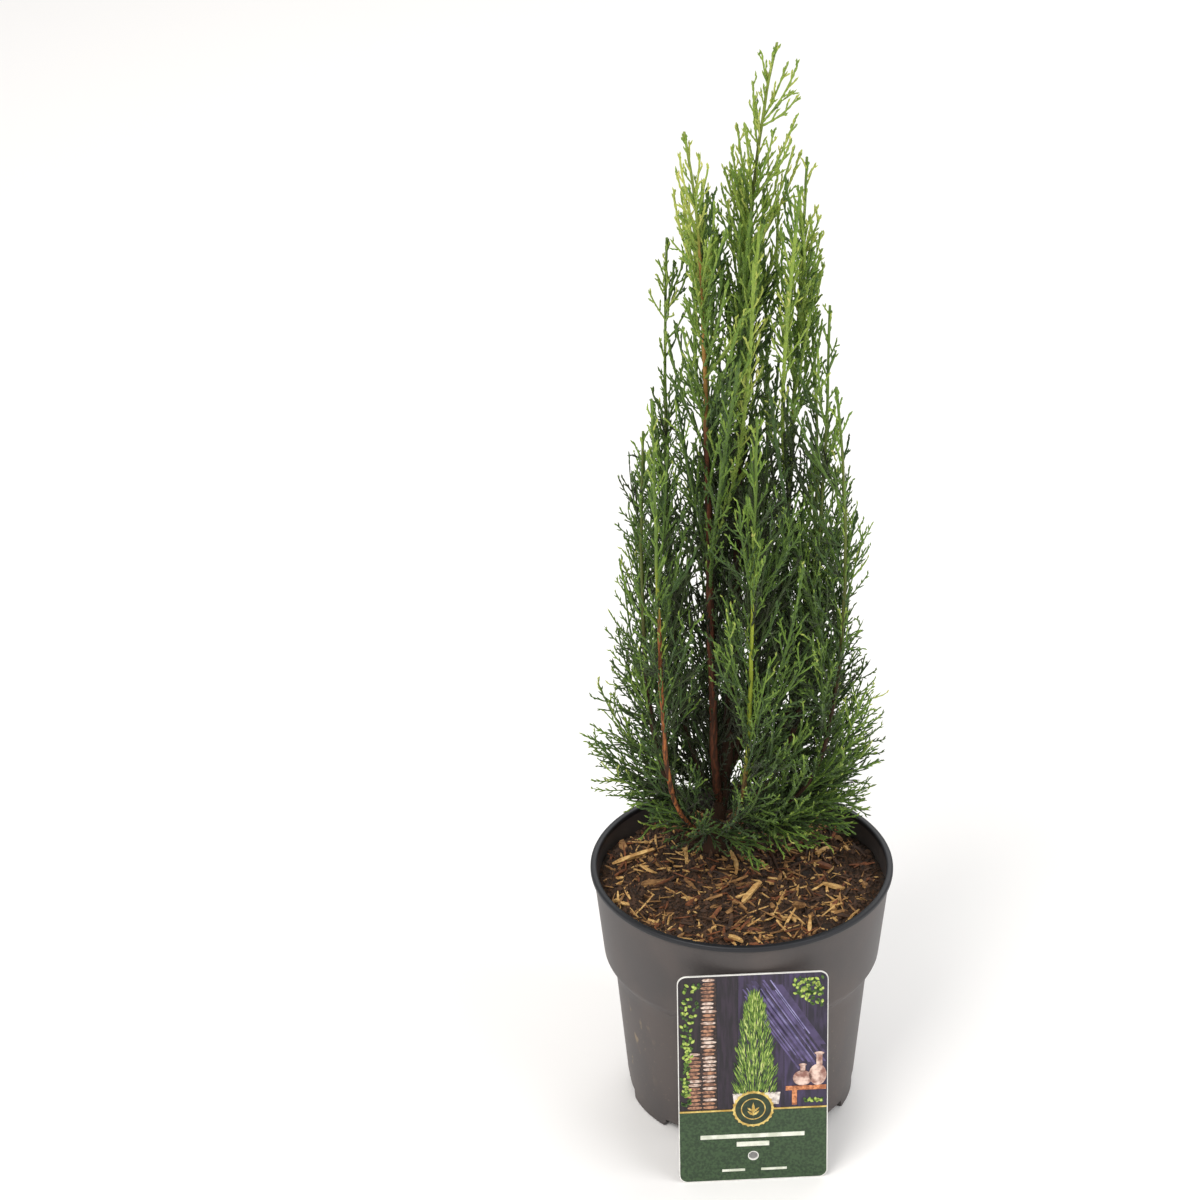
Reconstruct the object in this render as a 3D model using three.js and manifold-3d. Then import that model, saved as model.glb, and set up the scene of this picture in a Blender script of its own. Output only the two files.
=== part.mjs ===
// A young Italian cypress, about 64 cm tall, growing as a clump of upright leads in a round
// nursery pot, with a plain plant card leaning on the pot. Millimetres, +Z up, the origin in the
// middle of the pot's underside, -Y the side the card leans on.
import * as THREE from 'three';
import { mergeVertices } from 'three/addons/utils/BufferGeometryUtils.js';
import Module from 'manifold-3d';

const wasm = await Module();
wasm.setup();

// ---- Driving dimensions -------------------------------------------------------------------------

const TREE_HEIGHT = 636; // ground to the leader's tip, pot included

const POT = {
  height: 152,
  lipRadius: 87.3, // outer edge of the rolled lip
  lipHeight: 3.4,
  bandTopRadius: 85.6, // the upright band under the lip
  bandFootRadius: 79.6,
  bandFootHeight: 98,
  wallTopRadius: 73.2, // the tapered wall below the band
  wallTopHeight: 86,
  footRadius: 65.6,
  lipEdge: 0.8, // the lip's rounded corners
  lipTread: 3, // the flat top of the lip
  wall: 1.6,
  cornerFill: 0.5, // extra thickness where the wall meets the floor
  floorTop: 6.4,
  padRadius: 30, // the middle pad of the underside
  footWidth: 7,
  channelHeight: 4.2, // the drain channel between foot ring and pad
  channelSlope: 2,
  notches: 8,
  notchTurn: 0.18, // the first one's bearing, as a share of the step between two
  notchWidth: 17,
  notchHeight: 5.5,
  drainHoles: 6,
  drainHoleRadius: 4.5,
  sides: 26,
};

const SOIL = {
  rimDrop: 14,
  edgeSink: 1, // it sinks a little where it meets the pot
  flatRadius: 18, // level round the trunk's foot
  mound: 3.2,
  moundRadius: 46,
  roughness: 1.1,
  roughFrom: 40,
  gap: 0.3,
  wallGap: 0.9,
  insets: [0, 14, 30, 46, 60], // its rings, in from the edge
  sides: 24,
};

const CARD = {
  width: 84.4,
  height: 134.6,
  thickness: 1,
  corner: 5,
  holeRadius: 2.6,
  holeHeight: 19,
  lean: 4.8, // degrees back from upright
  turn: 2.6, // degrees about the vertical
  footX: 3,
  footY: -96.4,
};

const TRUNK = {
  x: -15,
  y: 30,
  swing: 90, // the height over which its foot's lean dies out
  lean: 5, // towards -Y at its tip
  topX: 18, // the tip's bend
  footRadius: 4.6,
  tipRadius: 0.8,
  taper: 1.5,
  flare: 3.2,
  flareHeight: 9,
  bareTip: 14, // the solid ends this far below the leader's tip
  steps: 18,
};

const FINENESS = { limb: 0.1, mass: 0.5 }; // smaller surface detail is dropped from a cut solid
const GAP = { limb: 0.8, least: 0.3, mass: 1.6 }; // clearances round limbs, and between foliage masses

const groundZ = POT.height - SOIL.rimDrop + SOIL.mound; // flat soil round the trunk's foot
const trunkFootZ = groundZ + SOIL.gap;

// The upright leads beside the trunk. stand: where the lead rises, tip: its top, forkZ: where it
// leaves the trunk, bareTo: where it enters its foliage, girth: its foot's radius, spread: its
// foliage's widest radius.
const LEADS = {
  second_leader: { stand: [-17, 7], tip: [-30.5, 10, 594], forkZ: 168, bareTo: 372, girth: 2.6, spread: 26 },
  third_leader: { stand: [26, 27], tip: [37, 25, 573], forkZ: 205, bareTo: 362, girth: 2.2, spread: 25 },
  left_front: { stand: [-46, -28], tip: [-49, -25, 459], forkZ: 154, bareTo: 292, girth: 1.7, spread: 19 },
  centre_front: { stand: [3, -32], tip: [6, -30, 450], forkZ: 160, bareTo: 274, girth: 1.7, spread: 23 },
  right: { stand: [37, 8], tip: [46, 10, 495], forkZ: 163, bareTo: 262, girth: 1.8, spread: 23 },
  right_outer: { stand: [52, -14], tip: [58, -8, 456], forkZ: 159, bareTo: 250, girth: 1.7, spread: 21 },
  left: { stand: [-53, 4], tip: [-58, 2, 427], forkZ: 164, bareTo: 252, girth: 1.7, spread: 21 },
  left_back: { stand: [-38, 38], tip: [-39, 32, 526], forkZ: 172, bareTo: 266, girth: 1.9, spread: 21 },
  back_left: { stand: [-15, 60], tip: [-18, 50, 540], forkZ: 178, bareTo: 272, girth: 1.9, spread: 24 },
  back: { stand: [15, 60], tip: [12, 50, 522], forkZ: 186, bareTo: 270, girth: 1.9, spread: 22 },
  back_right: { stand: [40, 40], tip: [37, 38, 505], forkZ: 176, bareTo: 262, girth: 1.9, spread: 21 },
};
const LEAD = { swing: 0.11, drift: 3, thinning: 0.5, steps: 8 }; // how they leave, drift and taper

// The low sprays that fill the foot of the crown. Each leans out from the crown's middle: turn is
// its bearing in degrees, reach its distance out, low and high its foot and crest.
const CROWN = { middle: [-3, 14], depth: 0.9 }; // it is a little shallower than it is wide
const SKIRTS = {
  right: { turn: -14, reach: 60, low: 151, high: 350, spread: 29 },
  back_right: { turn: 30, reach: 56, low: 150, high: 318, spread: 26 },
  back: { turn: 76, reach: 48, low: 150, high: 304, spread: 26 },
  back_left: { turn: 120, reach: 50, low: 149, high: 308, spread: 26 },
  left_back: { turn: 153, reach: 56, low: 151, high: 312, spread: 25 },
  left: { turn: 187, reach: 61, low: 152, high: 348, spread: 26 },
  front_right: { turn: 318, reach: 46, low: 153, high: 312, spread: 26 },
  front: { turn: 288, reach: 24, low: 146, high: 222, spread: 22 },
};
const SKIRT_FOOT = 0.72; // how far out a skirt's foot stands, as a share of its reach

const HEART = { low: 164, high: 340, radius: 17 }; // the shaded foliage round the trunk
const LEADER = { low: 340, radius: 27 };

// How masses are drawn: widest at a share of their height, then drawn out to a point, the more
// bluntly the smaller draw is; crowding packs the rings towards the top when it is below one.
const FORMS = {
  leader: { widest: 0.16, draw: 0.42, crowding: 0.85, steps: 9 },
  plume: { widest: 0.3, draw: 0.6, crowding: 1.1, steps: 8 },
  heart: { widest: 0.4, draw: 0.6, crowding: 1.1, steps: 5 },
  skirt: { widest: 0.36, draw: 0.6, crowding: 1.1, steps: 7 },
};
const UNEVENNESS = 0.16; // the depth of the waves on a mass, as a share of its radius

// ---- Materials ----------------------------------------------------------------------------------

const finish = (color, roughness, metalness = 0) =>
  new THREE.MeshStandardMaterial({ color, roughness, metalness });
const FINISHES = {
  pot: finish(0x57555a, 0.55),
  soil: finish(0x3b2a1c, 0.95),
  bark: finish(0x6e3b22, 0.85),
  foliage: finish(0x3f5a2b, 0.8),
  freshFoliage: finish(0x6f8a35, 0.8),
  card: finish(0x33492f, 0.4),
};

// ---- Solids -------------------------------------------------------------------------------------

// A closed geometry becomes a Manifold solid once its shared vertices are merged.
function solidOf(geometry) {
  const bare = geometry.clone();
  bare.deleteAttribute('normal');
  bare.deleteAttribute('uv');
  const merged = mergeVertices(bare, 1e-4);
  return new wasm.Manifold(
    new wasm.Mesh({
      numProp: 3,
      vertProperties: new Float32Array(merged.attributes.position.array),
      triVerts: new Uint32Array(merged.index.array),
    }),
  );
}

function geometryOf(solid) {
  const mesh = solid.getMesh();
  const geometry = new THREE.BufferGeometry();
  geometry.setAttribute('position', new THREE.BufferAttribute(new Float32Array(mesh.vertProperties), 3));
  geometry.setIndex(new THREE.BufferAttribute(new Uint32Array(mesh.triVerts), 1));
  geometry.computeVertexNormals();
  return geometry;
}

// Skins rings of points, each the same length, and closes both ends with a fan to a pole.
function loft(rings, lowPole, highPole) {
  const sides = rings[0].length;
  const points = [...rings.flat(), lowPole, highPole];
  const low = points.length - 2;
  const high = points.length - 1;
  const index = [];
  for (let ring = 0; ring < rings.length - 1; ring++) {
    for (let side = 0; side < sides; side++) {
      const a = ring * sides + side;
      const b = ring * sides + ((side + 1) % sides);
      index.push(a, b, b + sides, a, b + sides, a + sides);
    }
  }
  const top = (rings.length - 1) * sides;
  for (let side = 0; side < sides; side++) {
    const next = (side + 1) % sides;
    index.push(low, next, side, high, top + side, top + next);
  }
  const geometry = new THREE.BufferGeometry();
  geometry.setAttribute('position', new THREE.Float32BufferAttribute(points.flatMap((p) => p.toArray()), 3));
  geometry.setIndex(index);
  return geometry;
}

// A ring of points round centre, at a radius that may change with the angle.
function ring(centre, sides, radiusAt) {
  return Array.from({ length: sides }, (_, side) => {
    const angle = (2 * Math.PI * side) / sides;
    const radius = radiusAt(angle);
    return new THREE.Vector3(
      centre.x + radius * Math.cos(angle),
      centre.y + radius * Math.sin(angle),
      centre.z,
    );
  });
}

const largest = (solid, fineness) =>
  solid
    .simplify(fineness)
    .decompose()
    .reduce((a, b) => (b.volume() > a.volume() ? b : a));

// ---- The limbs' lines ---------------------------------------------------------------------------

// The trunk swings upright from its foot and bends to one side at its tip.
function trunkLine(z) {
  const rise = (z - trunkFootZ) / (TREE_HEIGHT - trunkFootZ);
  const foot = TRUNK.x * Math.exp(-(z - trunkFootZ) / TRUNK.swing);
  return new THREE.Vector3(foot + TRUNK.topX * rise ** 6, TRUNK.y - TRUNK.lean * rise, z);
}

function trunkRadius(z) {
  const rise = (z - trunkFootZ) / (TREE_HEIGHT - trunkFootZ);
  const taper = TRUNK.tipRadius + (TRUNK.footRadius - TRUNK.tipRadius) * (1 - rise) ** TRUNK.taper;
  return taper + TRUNK.flare * Math.exp(-(z - trunkFootZ) / TRUNK.flareHeight);
}

// A lead swings out from its fork to its stand, rises, and drifts to its tip.
function leadLine(lead) {
  const fork = trunkLine(lead.forkZ);
  return (z) => {
    const rise = (z - lead.forkZ) / (lead.tip[2] - lead.forkZ);
    const swing = 1 - Math.exp(-rise / LEAD.swing);
    const drift = Math.max(rise, 0) ** LEAD.drift;
    const across = (axis) =>
      fork.getComponent(axis) +
      (lead.stand[axis] - fork.getComponent(axis)) * swing +
      (lead.tip[axis] - lead.stand[axis]) * drift;
    return new THREE.Vector3(across(0), across(1), z);
  };
}

const LIMB_SIDES = 6;

// A tapering limb of horizontal rings along a line.
function limb(line, radiusAt, lowZ, highZ, steps, grow = 0) {
  const heights = Array.from({ length: steps + 1 }, (_, i) => lowZ + ((highZ - lowZ) * i) / steps);
  const rings = heights.map((z) => ring(line(z), LIMB_SIDES, () => radiusAt(z) + grow));
  return solidOf(loft(rings, line(lowZ), line(highZ)));
}

// ---- Foliage ------------------------------------------------------------------------------------

const MASS_SIDES = 8;

// Slow waves round and up a mass, so that no two are alike: how many go round it, the height in
// which one passes, its share of the depth and how far each seed shifts it.
const WAVES = [
  { round: 2, pitch: 31, share: 0.5, shift: 2.3 },
  { round: 3, pitch: -19, share: 0.32, shift: 4.1 },
  { round: 5, pitch: 13, share: 0.25, shift: 1.7 },
];

const unevenness = (angle, z, seed) =>
  WAVES.reduce((sum, w) => sum + w.share * Math.sin(w.round * angle + z / w.pitch + seed * w.shift), 0);

// An uneven mass round a line, rounded at its foot.
function mass(line, { lowZ, highZ, spread, form, seed }, grow) {
  const rings = [];
  for (let i = 1; i < form.steps; i++) {
    const rise = (i / form.steps) ** form.crowding;
    const z = lowZ + (highZ - lowZ) * rise;
    const body =
      rise < form.widest
        ? 0.5 + 0.5 * Math.sin((0.5 * Math.PI * rise) / form.widest)
        : Math.max(1 - (rise - form.widest) / (1 - form.widest), 0) ** form.draw;
    const radiusAt = (angle) => spread * body * (1 + UNEVENNESS * unevenness(angle, z, seed)) + grow;
    rings.push(ring(line(z), MASS_SIDES, radiusAt));
  }
  return solidOf(loft(rings, line(lowZ - grow), line(highZ + grow)));
}

// ---- Pot, soil and card -------------------------------------------------------------------------

const lathe = (profile, sides) => {
  const turned = new THREE.LatheGeometry(profile.map(([r, z]) => new THREE.Vector2(r, z)), sides);
  return turned.rotateX(Math.PI / 2);
};

function potSolid() {
  const p = POT;
  const lipFoot = p.height - p.lipHeight;
  const shoulder = (p.bandFootHeight + p.wallTopHeight) / 2;
  const profile = [
    [0, 0],
    [p.padRadius, 0],
    [p.padRadius + p.channelSlope, p.channelHeight],
    [p.footRadius - p.footWidth - p.channelSlope, p.channelHeight],
    [p.footRadius - p.footWidth, 0],
    [p.footRadius, 0],
    [p.wallTopRadius, p.wallTopHeight],
    [p.wallTopRadius + 2.6, shoulder],
    [p.bandFootRadius - 1, p.bandFootHeight - 2.5],
    [p.bandFootRadius, p.bandFootHeight],
    [p.bandTopRadius, lipFoot],
    [p.lipRadius, lipFoot + p.lipEdge],
    [p.lipRadius, p.height - p.lipEdge],
    [p.lipRadius - p.lipEdge, p.height],
    [p.lipRadius - p.lipTread, p.height],
    [p.bandTopRadius - p.wall, lipFoot - 1],
    [p.bandFootRadius - p.wall, p.bandFootHeight],
    [p.wallTopRadius - p.wall, p.wallTopHeight],
    [p.footRadius - p.wall + p.cornerFill, p.floorTop],
    [0, p.floorTop],
  ];
  let pot = solidOf(lathe(profile, p.sides));
  const hollow = (radius, length) => new THREE.CylinderGeometry(radius, radius, length, 6);
  for (let i = 0; i < p.notches; i++) {
    const turn = (2 * Math.PI * (i + p.notchTurn)) / p.notches;
    const notch = hollow(p.notchHeight, p.notchWidth).rotateY(Math.PI / 2).scale(1, 1, 1.5);
    pot = pot.subtract(solidOf(notch.rotateZ(Math.PI / 2).translate(p.footRadius, 0, 0).rotateZ(turn)));
  }
  for (let i = 0; i < p.drainHoles; i++) {
    const turn = (2 * Math.PI * i) / p.drainHoles;
    const hole = hollow(p.drainHoleRadius, 30).rotateX(Math.PI / 2);
    const out = (p.padRadius + p.footRadius - p.footWidth) / 2;
    pot = pot.subtract(solidOf(hole.translate(out, 0, 0).rotateZ(turn)));
  }
  return pot;
}

function potInnerRadius(z) {
  const p = POT;
  const low = p.footRadius - p.wall + p.cornerFill;
  const mid = p.wallTopRadius - p.wall;
  if (z < p.wallTopHeight) return low + ((mid - low) * (z - p.floorTop)) / (p.wallTopHeight - p.floorTop);
  const shoulder = p.bandFootRadius - p.wall;
  if (z < p.bandFootHeight) {
    return mid + ((shoulder - mid) * (z - p.wallTopHeight)) / (p.bandFootHeight - p.wallTopHeight);
  }
  const top = p.bandTopRadius - p.wall;
  const bandHeight = p.height - p.lipHeight - 1 - p.bandFootHeight;
  return shoulder + ((top - shoulder) * (z - p.bandFootHeight)) / bandHeight;
}

// The root ball fills the pot; its top is uneven and swells a little towards the trunk.
function soilSolid() {
  const centre = (z) => new THREE.Vector3(0, 0, z);
  const ringAt = (z, inset) => ring(centre(z), SOIL.sides, () => potInnerRadius(z) - SOIL.wallGap - inset);
  const bandZ = POT.bandFootHeight;
  const wallRings = [POT.floorTop + SOIL.gap, POT.wallTopHeight, bandZ].map((z) => ringAt(z, 0));
  const edgeZ = POT.height - SOIL.rimDrop;
  const topRings = SOIL.insets.map((inset) =>
    ringAt(edgeZ, inset).map((point) => {
      const reach = Math.hypot(point.x - TRUNK.x, point.y - TRUNK.y);
      const beyond = (end) => THREE.MathUtils.smoothstep(reach, SOIL.flatRadius, end);
      const swell = SOIL.mound * (1 - beyond(SOIL.flatRadius + SOIL.moundRadius));
      const wave = Math.sin(point.x / 9 + 1) * Math.cos(point.y / 7);
      const rough = SOIL.roughness * wave * beyond(SOIL.roughFrom);
      return point.setZ(edgeZ + swell + rough - (inset ? 0 : SOIL.edgeSink));
    }),
  );
  const middle = new THREE.Vector3(0, 0, groundZ - SOIL.edgeSink / 2);
  return solidOf(loft([...wallRings, ...topRings], centre(POT.floorTop + SOIL.gap), middle));
}

// A thin plate with rounded corners and a hanging hole, its lower edge on the ground.
function cardSolid() {
  const c = CARD;
  const outline = new THREE.Shape();
  const half = c.width / 2;
  outline.moveTo(-half + c.corner, 0);
  outline.lineTo(half - c.corner, 0);
  outline.absarc(half - c.corner, c.corner, c.corner, -Math.PI / 2, 0);
  outline.lineTo(half, c.height - c.corner);
  outline.absarc(half - c.corner, c.height - c.corner, c.corner, 0, Math.PI / 2);
  outline.lineTo(-half + c.corner, c.height);
  outline.absarc(-half + c.corner, c.height - c.corner, c.corner, Math.PI / 2, Math.PI);
  outline.lineTo(-half, c.corner);
  outline.absarc(-half + c.corner, c.corner, c.corner, Math.PI, 1.5 * Math.PI);
  const hole = new THREE.Path();
  hole.absarc(0, c.holeHeight, c.holeRadius, 0, 2 * Math.PI, true);
  outline.holes.push(hole);
  const pressing = { depth: c.thickness, bevelEnabled: false, curveSegments: 5 };
  const card = new THREE.ExtrudeGeometry(outline, pressing);
  const lean = THREE.MathUtils.degToRad(c.lean);
  card.rotateX(Math.PI / 2 - lean); // upright, its face to -Y, its top leaning to +Y
  card.rotateZ(THREE.MathUtils.degToRad(c.turn));
  card.computeBoundingBox();
  card.translate(c.footX, c.footY, -card.boundingBox.min.z);
  return solidOf(card);
}

// ---- Assembly -----------------------------------------------------------------------------------

const tree = new THREE.Group();

function add(name, solid, material) {
  const mesh = new THREE.Mesh(geometryOf(solid), material);
  mesh.name = name;
  tree.add(mesh);
}

add('pot', potSolid(), FINISHES.pot);
add('soil', soilSolid(), FINISHES.soil);
add('label_card', cardSolid(), FINISHES.card);

const trunkTopZ = TREE_HEIGHT - TRUNK.bareTip;
const trunk = (grow) => limb(trunkLine, trunkRadius, trunkFootZ, trunkTopZ, TRUNK.steps, grow);
add('trunk', trunk(0), FINISHES.bark);

const boughRadius = (lead) => (z) =>
  lead.girth * (1 - (LEAD.thinning * (z - lead.forkZ)) / (lead.tip[2] - lead.forkZ));
let limbs = trunk(GAP.limb);
let limbCores = trunk(GAP.least);
for (const [name, lead] of Object.entries(LEADS)) {
  const line = leadLine(lead);
  const bough = (grow) => limb(line, boughRadius(lead), lead.forkZ, lead.bareTo + grow, LEAD.steps, grow);
  add(`bough_${name}`, largest(bough(0).subtract(limbs), FINENESS.limb), FINISHES.bark);
  limbs = limbs.add(bough(GAP.limb));
  limbCores = limbCores.add(bough(GAP.least));
}

// Each mass is cut round the limbs and round the masses placed before it. Dropping small surface
// detail may bring it back against a limb, so the limbs' cores are cut out again.
let taken = limbs;
let seed = 0;
function addMass(name, line, [lowZ, highZ], spread, form, material) {
  seed += 1;
  const shape = { lowZ, highZ, spread, form, seed };
  const cut = largest(mass(line, shape, 0).subtract(taken), FINENESS.mass);
  add(name, largest(cut.subtract(limbCores), FINENESS.limb), material);
  taken = taken.add(mass(line, shape, GAP.mass));
}

const fresh = FINISHES.freshFoliage;
addMass('foliage_leader', trunkLine, [LEADER.low, TREE_HEIGHT], LEADER.radius, FORMS.leader, fresh);
for (const [name, lead] of Object.entries(LEADS)) {
  const span = [lead.bareTo + GAP.limb, lead.tip[2]];
  addMass(`foliage_${name}`, leadLine(lead), span, lead.spread, FORMS.plume, fresh);
}
addMass('foliage_heart', trunkLine, [HEART.low, HEART.high], HEART.radius, FORMS.heart, FINISHES.foliage);

// A skirt leans out from the crown's middle, then rises.
function skirtLine(skirt) {
  const bearing = THREE.MathUtils.degToRad(skirt.turn);
  return (z) => {
    const rise = THREE.MathUtils.clamp((z - skirt.low) / (skirt.high - skirt.low), 0, 1);
    const out = skirt.reach * (SKIRT_FOOT + (1 - SKIRT_FOOT) * Math.sin(0.75 * Math.PI * rise));
    return new THREE.Vector3(
      CROWN.middle[0] + out * Math.cos(bearing),
      CROWN.middle[1] + out * Math.sin(bearing) * CROWN.depth,
      z,
    );
  };
}

for (const [name, skirt] of Object.entries(SKIRTS)) {
  const span = [skirt.low, skirt.high];
  addMass(`foliage_skirt_${name}`, skirtLine(skirt), span, skirt.spread, FORMS.skirt, FINISHES.foliage);
}

export default tree;
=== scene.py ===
"""The looks of a young Italian cypress in a nursery pot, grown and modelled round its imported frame.

The crown is grown in three orders by a seeded rule: branches leave the limbs for places in each foliage
mass, sprays leave the branches, and short scale-leaved twigs leave the sprays. Metres, +Z up, -Y the side
that the plant card leans on.
"""

import sys
import logging
import math
from dataclasses import dataclass, field, replace
from enum import Enum
from typing import Iterable, Sequence

import bpy
import numpy as np
from mathutils import Matrix, Vector
from mathutils.bvhtree import BVHTree


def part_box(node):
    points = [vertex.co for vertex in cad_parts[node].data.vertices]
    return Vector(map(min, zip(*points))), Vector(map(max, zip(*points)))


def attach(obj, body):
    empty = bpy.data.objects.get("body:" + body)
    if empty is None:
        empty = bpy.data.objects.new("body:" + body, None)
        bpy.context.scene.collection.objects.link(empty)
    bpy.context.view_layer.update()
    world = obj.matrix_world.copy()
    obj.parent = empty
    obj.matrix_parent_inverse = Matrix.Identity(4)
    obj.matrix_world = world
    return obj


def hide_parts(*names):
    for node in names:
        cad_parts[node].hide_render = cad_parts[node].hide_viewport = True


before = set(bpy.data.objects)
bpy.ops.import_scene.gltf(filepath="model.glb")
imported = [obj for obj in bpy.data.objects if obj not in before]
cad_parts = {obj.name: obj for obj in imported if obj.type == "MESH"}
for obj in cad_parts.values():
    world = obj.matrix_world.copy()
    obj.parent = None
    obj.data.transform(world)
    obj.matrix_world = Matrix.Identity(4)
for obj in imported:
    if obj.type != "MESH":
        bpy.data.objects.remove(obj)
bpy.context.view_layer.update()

LOG = logging.getLogger("cypress")
MM = 0.001
BODY = "root"
SEED = 1207
PIECE_FACES = 170_000  # a joined foliage piece is split before it holds more triangles than this
UP = np.array([0.0, 0.0, 1.0])

Triple = tuple[float, float, float]
Colour = Triple
Shade = tuple[int, int, int]  # a colour as a screen shows it, 0 to 255
Spot = tuple[float, float]
Outline = list[Spot]
Mesh = tuple[np.ndarray, np.ndarray]  # points, and faces as rows of their numbers


def linear(red: int, green: int, blue: int) -> Colour:
    """Turns a colour as a screen shows it, 0 to 255, into the shader's linear one."""
    share = [c / 255 for c in (red, green, blue)]
    return tuple(c / 12.92 if c <= 0.04045 else ((c + 0.055) / 1.055) ** 2.4 for c in share)


def unit(vectors: np.ndarray) -> np.ndarray:
    """Scales each vector in the last axis to length one."""
    return vectors / np.maximum(np.linalg.norm(vectors, axis=-1, keepdims=True), 1e-12)


# ---- Shader nodes -------------------------------------------------------------------------------


class Field:
    """A shader value that is used in ordinary arithmetic; each operation adds its Math node."""

    def __init__(self, net: "Net", socket: bpy.types.NodeSocket) -> None:
        """Wraps a socket of a net."""
        self.net = net
        self.socket = socket

    def _math(self, operation: str, first: object, second: object) -> "Field":
        """Adds one Math node.

        Args:
            operation: The Math node's operation.
            first: The first value, a field or a number.
            second: The second value, a field or a number.

        Returns:
            The node's result.
        """
        made = self.net.node("ShaderNodeMath", {"operation": operation}, {0: first, 1: second})
        return Field(self.net, made.outputs[0])

    def __add__(self, other: object) -> "Field":
        """Returns self + other."""
        return self._math("ADD", self, other)

    __radd__ = __add__

    def __sub__(self, other: object) -> "Field":
        """Returns self - other."""
        return self._math("SUBTRACT", self, other)

    def __rsub__(self, other: object) -> "Field":
        """Returns other - self."""
        return self._math("SUBTRACT", other, self)

    def __mul__(self, other: object) -> "Field":
        """Returns self * other."""
        return self._math("MULTIPLY", self, other)

    __rmul__ = __mul__

    def above(self, low: float, high: float) -> "Field":
        """Rises smoothly from 0 at low to 1 at high.

        Args:
            low: The value up to which the result is 0.
            high: The value from which it is 1.

        Returns:
            The result.
        """
        inputs = {0: self, 1: low, 2: high, 3: 0.0, 4: 1.0}
        made = self.net.node("ShaderNodeMapRange", {"interpolation_type": "SMOOTHSTEP"}, inputs)
        return Field(self.net, made.outputs[0])


class Net:
    """The node tree of one material."""

    def __init__(self, name: str) -> None:
        """Makes the material and clears its nodes.

        Args:
            name: The material's name.
        """
        self.material = bpy.data.materials.new(name)
        self.material.use_nodes = True
        self.tree = self.material.node_tree
        self.tree.nodes.clear()

    def node(self, kind: str, settings: dict | None = None, inputs: dict | None = None) -> bpy.types.Node:
        """Adds a node.

        Args:
            kind: The node's type.
            settings: Its own settings, set first; "stops" is a ramp's list of (place, colour).
            inputs: A value, a field or a socket for each input, by name or number.

        Returns:
            The node.
        """
        made = self.tree.nodes.new(kind)
        for key, value in (settings or {}).items():
            if key == "stops":
                self._set_stops(made.color_ramp.elements, value)
            else:
                setattr(made, key, value)
        for key, value in (inputs or {}).items():
            source = value.socket if isinstance(value, Field) else value
            if isinstance(source, bpy.types.NodeSocket):
                self.tree.links.new(source, made.inputs[key])
            elif isinstance(source, tuple) and made.inputs[key].type == "RGBA":
                made.inputs[key].default_value = (*source, 1.0)
            else:
                made.inputs[key].default_value = source
        return made

    @staticmethod
    def _set_stops(elements: bpy.types.ColorRampElements, stops: Sequence[tuple[float, Colour]]) -> None:
        """Gives a colour ramp its stops.

        Args:
            elements: The ramp's elements.
            stops: Each stop's place, from 0 to 1, and its colour.
        """
        while len(elements) < len(stops):
            elements.new(1.0)
        for element, (place, colour) in zip(elements, stops):
            element.position = place
            element.color = (*colour, 1.0)

    def place(self) -> bpy.types.NodeSocket:
        """Returns the object coordinates, which are the row frame's metres."""
        return self.node("ShaderNodeTexCoord").outputs["Object"]

    def axis(self, letter: str) -> Field:
        """Returns one of the object coordinates, X, Y or Z."""
        split = self.node("ShaderNodeSeparateXYZ", None, {0: self.place()})
        return Field(self, split.outputs[letter])

    def noise(self, size: float, detail: float = 3.0, stretch: Triple = (1.0, 1.0, 1.0)) -> Field:
        """Adds noise.

        Args:
            size: How large a blotch is, in metres.
            detail: How many finer octaves it has.
            stretch: How many times longer it is along each axis.

        Returns:
            Its factor, from 0 to 1.
        """
        scale = tuple(1.0 / (size * s) for s in stretch)
        moved = self.node("ShaderNodeMapping", None, {"Vector": self.place(), "Scale": scale})
        inputs = {"Vector": moved.outputs[0], "Scale": 1.0, "Detail": detail}
        return Field(self, self.node("ShaderNodeTexNoise", None, inputs).outputs["Fac"])

    def ramp(self, value: Field, *stops: tuple[float, Colour]) -> bpy.types.NodeSocket:
        """Returns the colour that a ramp gives a value."""
        return self.node("ShaderNodeValToRGB", {"stops": stops}, {0: value}).outputs[0]

    def blend(self, mask: Field, low: object, high: object) -> bpy.types.NodeSocket:
        """Mixes two colours: low where the mask is 0, high where it is 1."""
        made = self.node("ShaderNodeMix", {"data_type": "RGBA"}, {0: mask, 6: low, 7: high})
        return made.outputs[2]

    def bump(self, height: Field, depth: float, strength: float = 1.0) -> bpy.types.NodeSocket:
        """Returns a normal for a relief of a depth in metres."""
        inputs = {"Height": height, "Distance": depth, "Strength": strength}
        return self.node("ShaderNodeBump", None, inputs).outputs[0]

    def surface(self, colour: object, roughness: object, normal: object = None, **constants: object) -> None:
        """Ends the tree in a Principled surface.

        Args:
            colour: The base colour, a colour or a socket.
            roughness: The roughness, a number or a field.
            normal: A normal's socket, or None.
            constants: Other sockets, with underscores for spaces, and plain values.
        """
        inputs = {"Base Color": colour, "Roughness": roughness}
        inputs.update({name.replace("_", " "): value for name, value in constants.items()})
        if normal is not None:
            inputs["Normal"] = normal
        shader = self.node("ShaderNodeBsdfPrincipled", None, inputs)
        self.node("ShaderNodeOutputMaterial", None, {"Surface": shader.outputs[0]})


# ---- Finishes -----------------------------------------------------------------------------------


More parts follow.
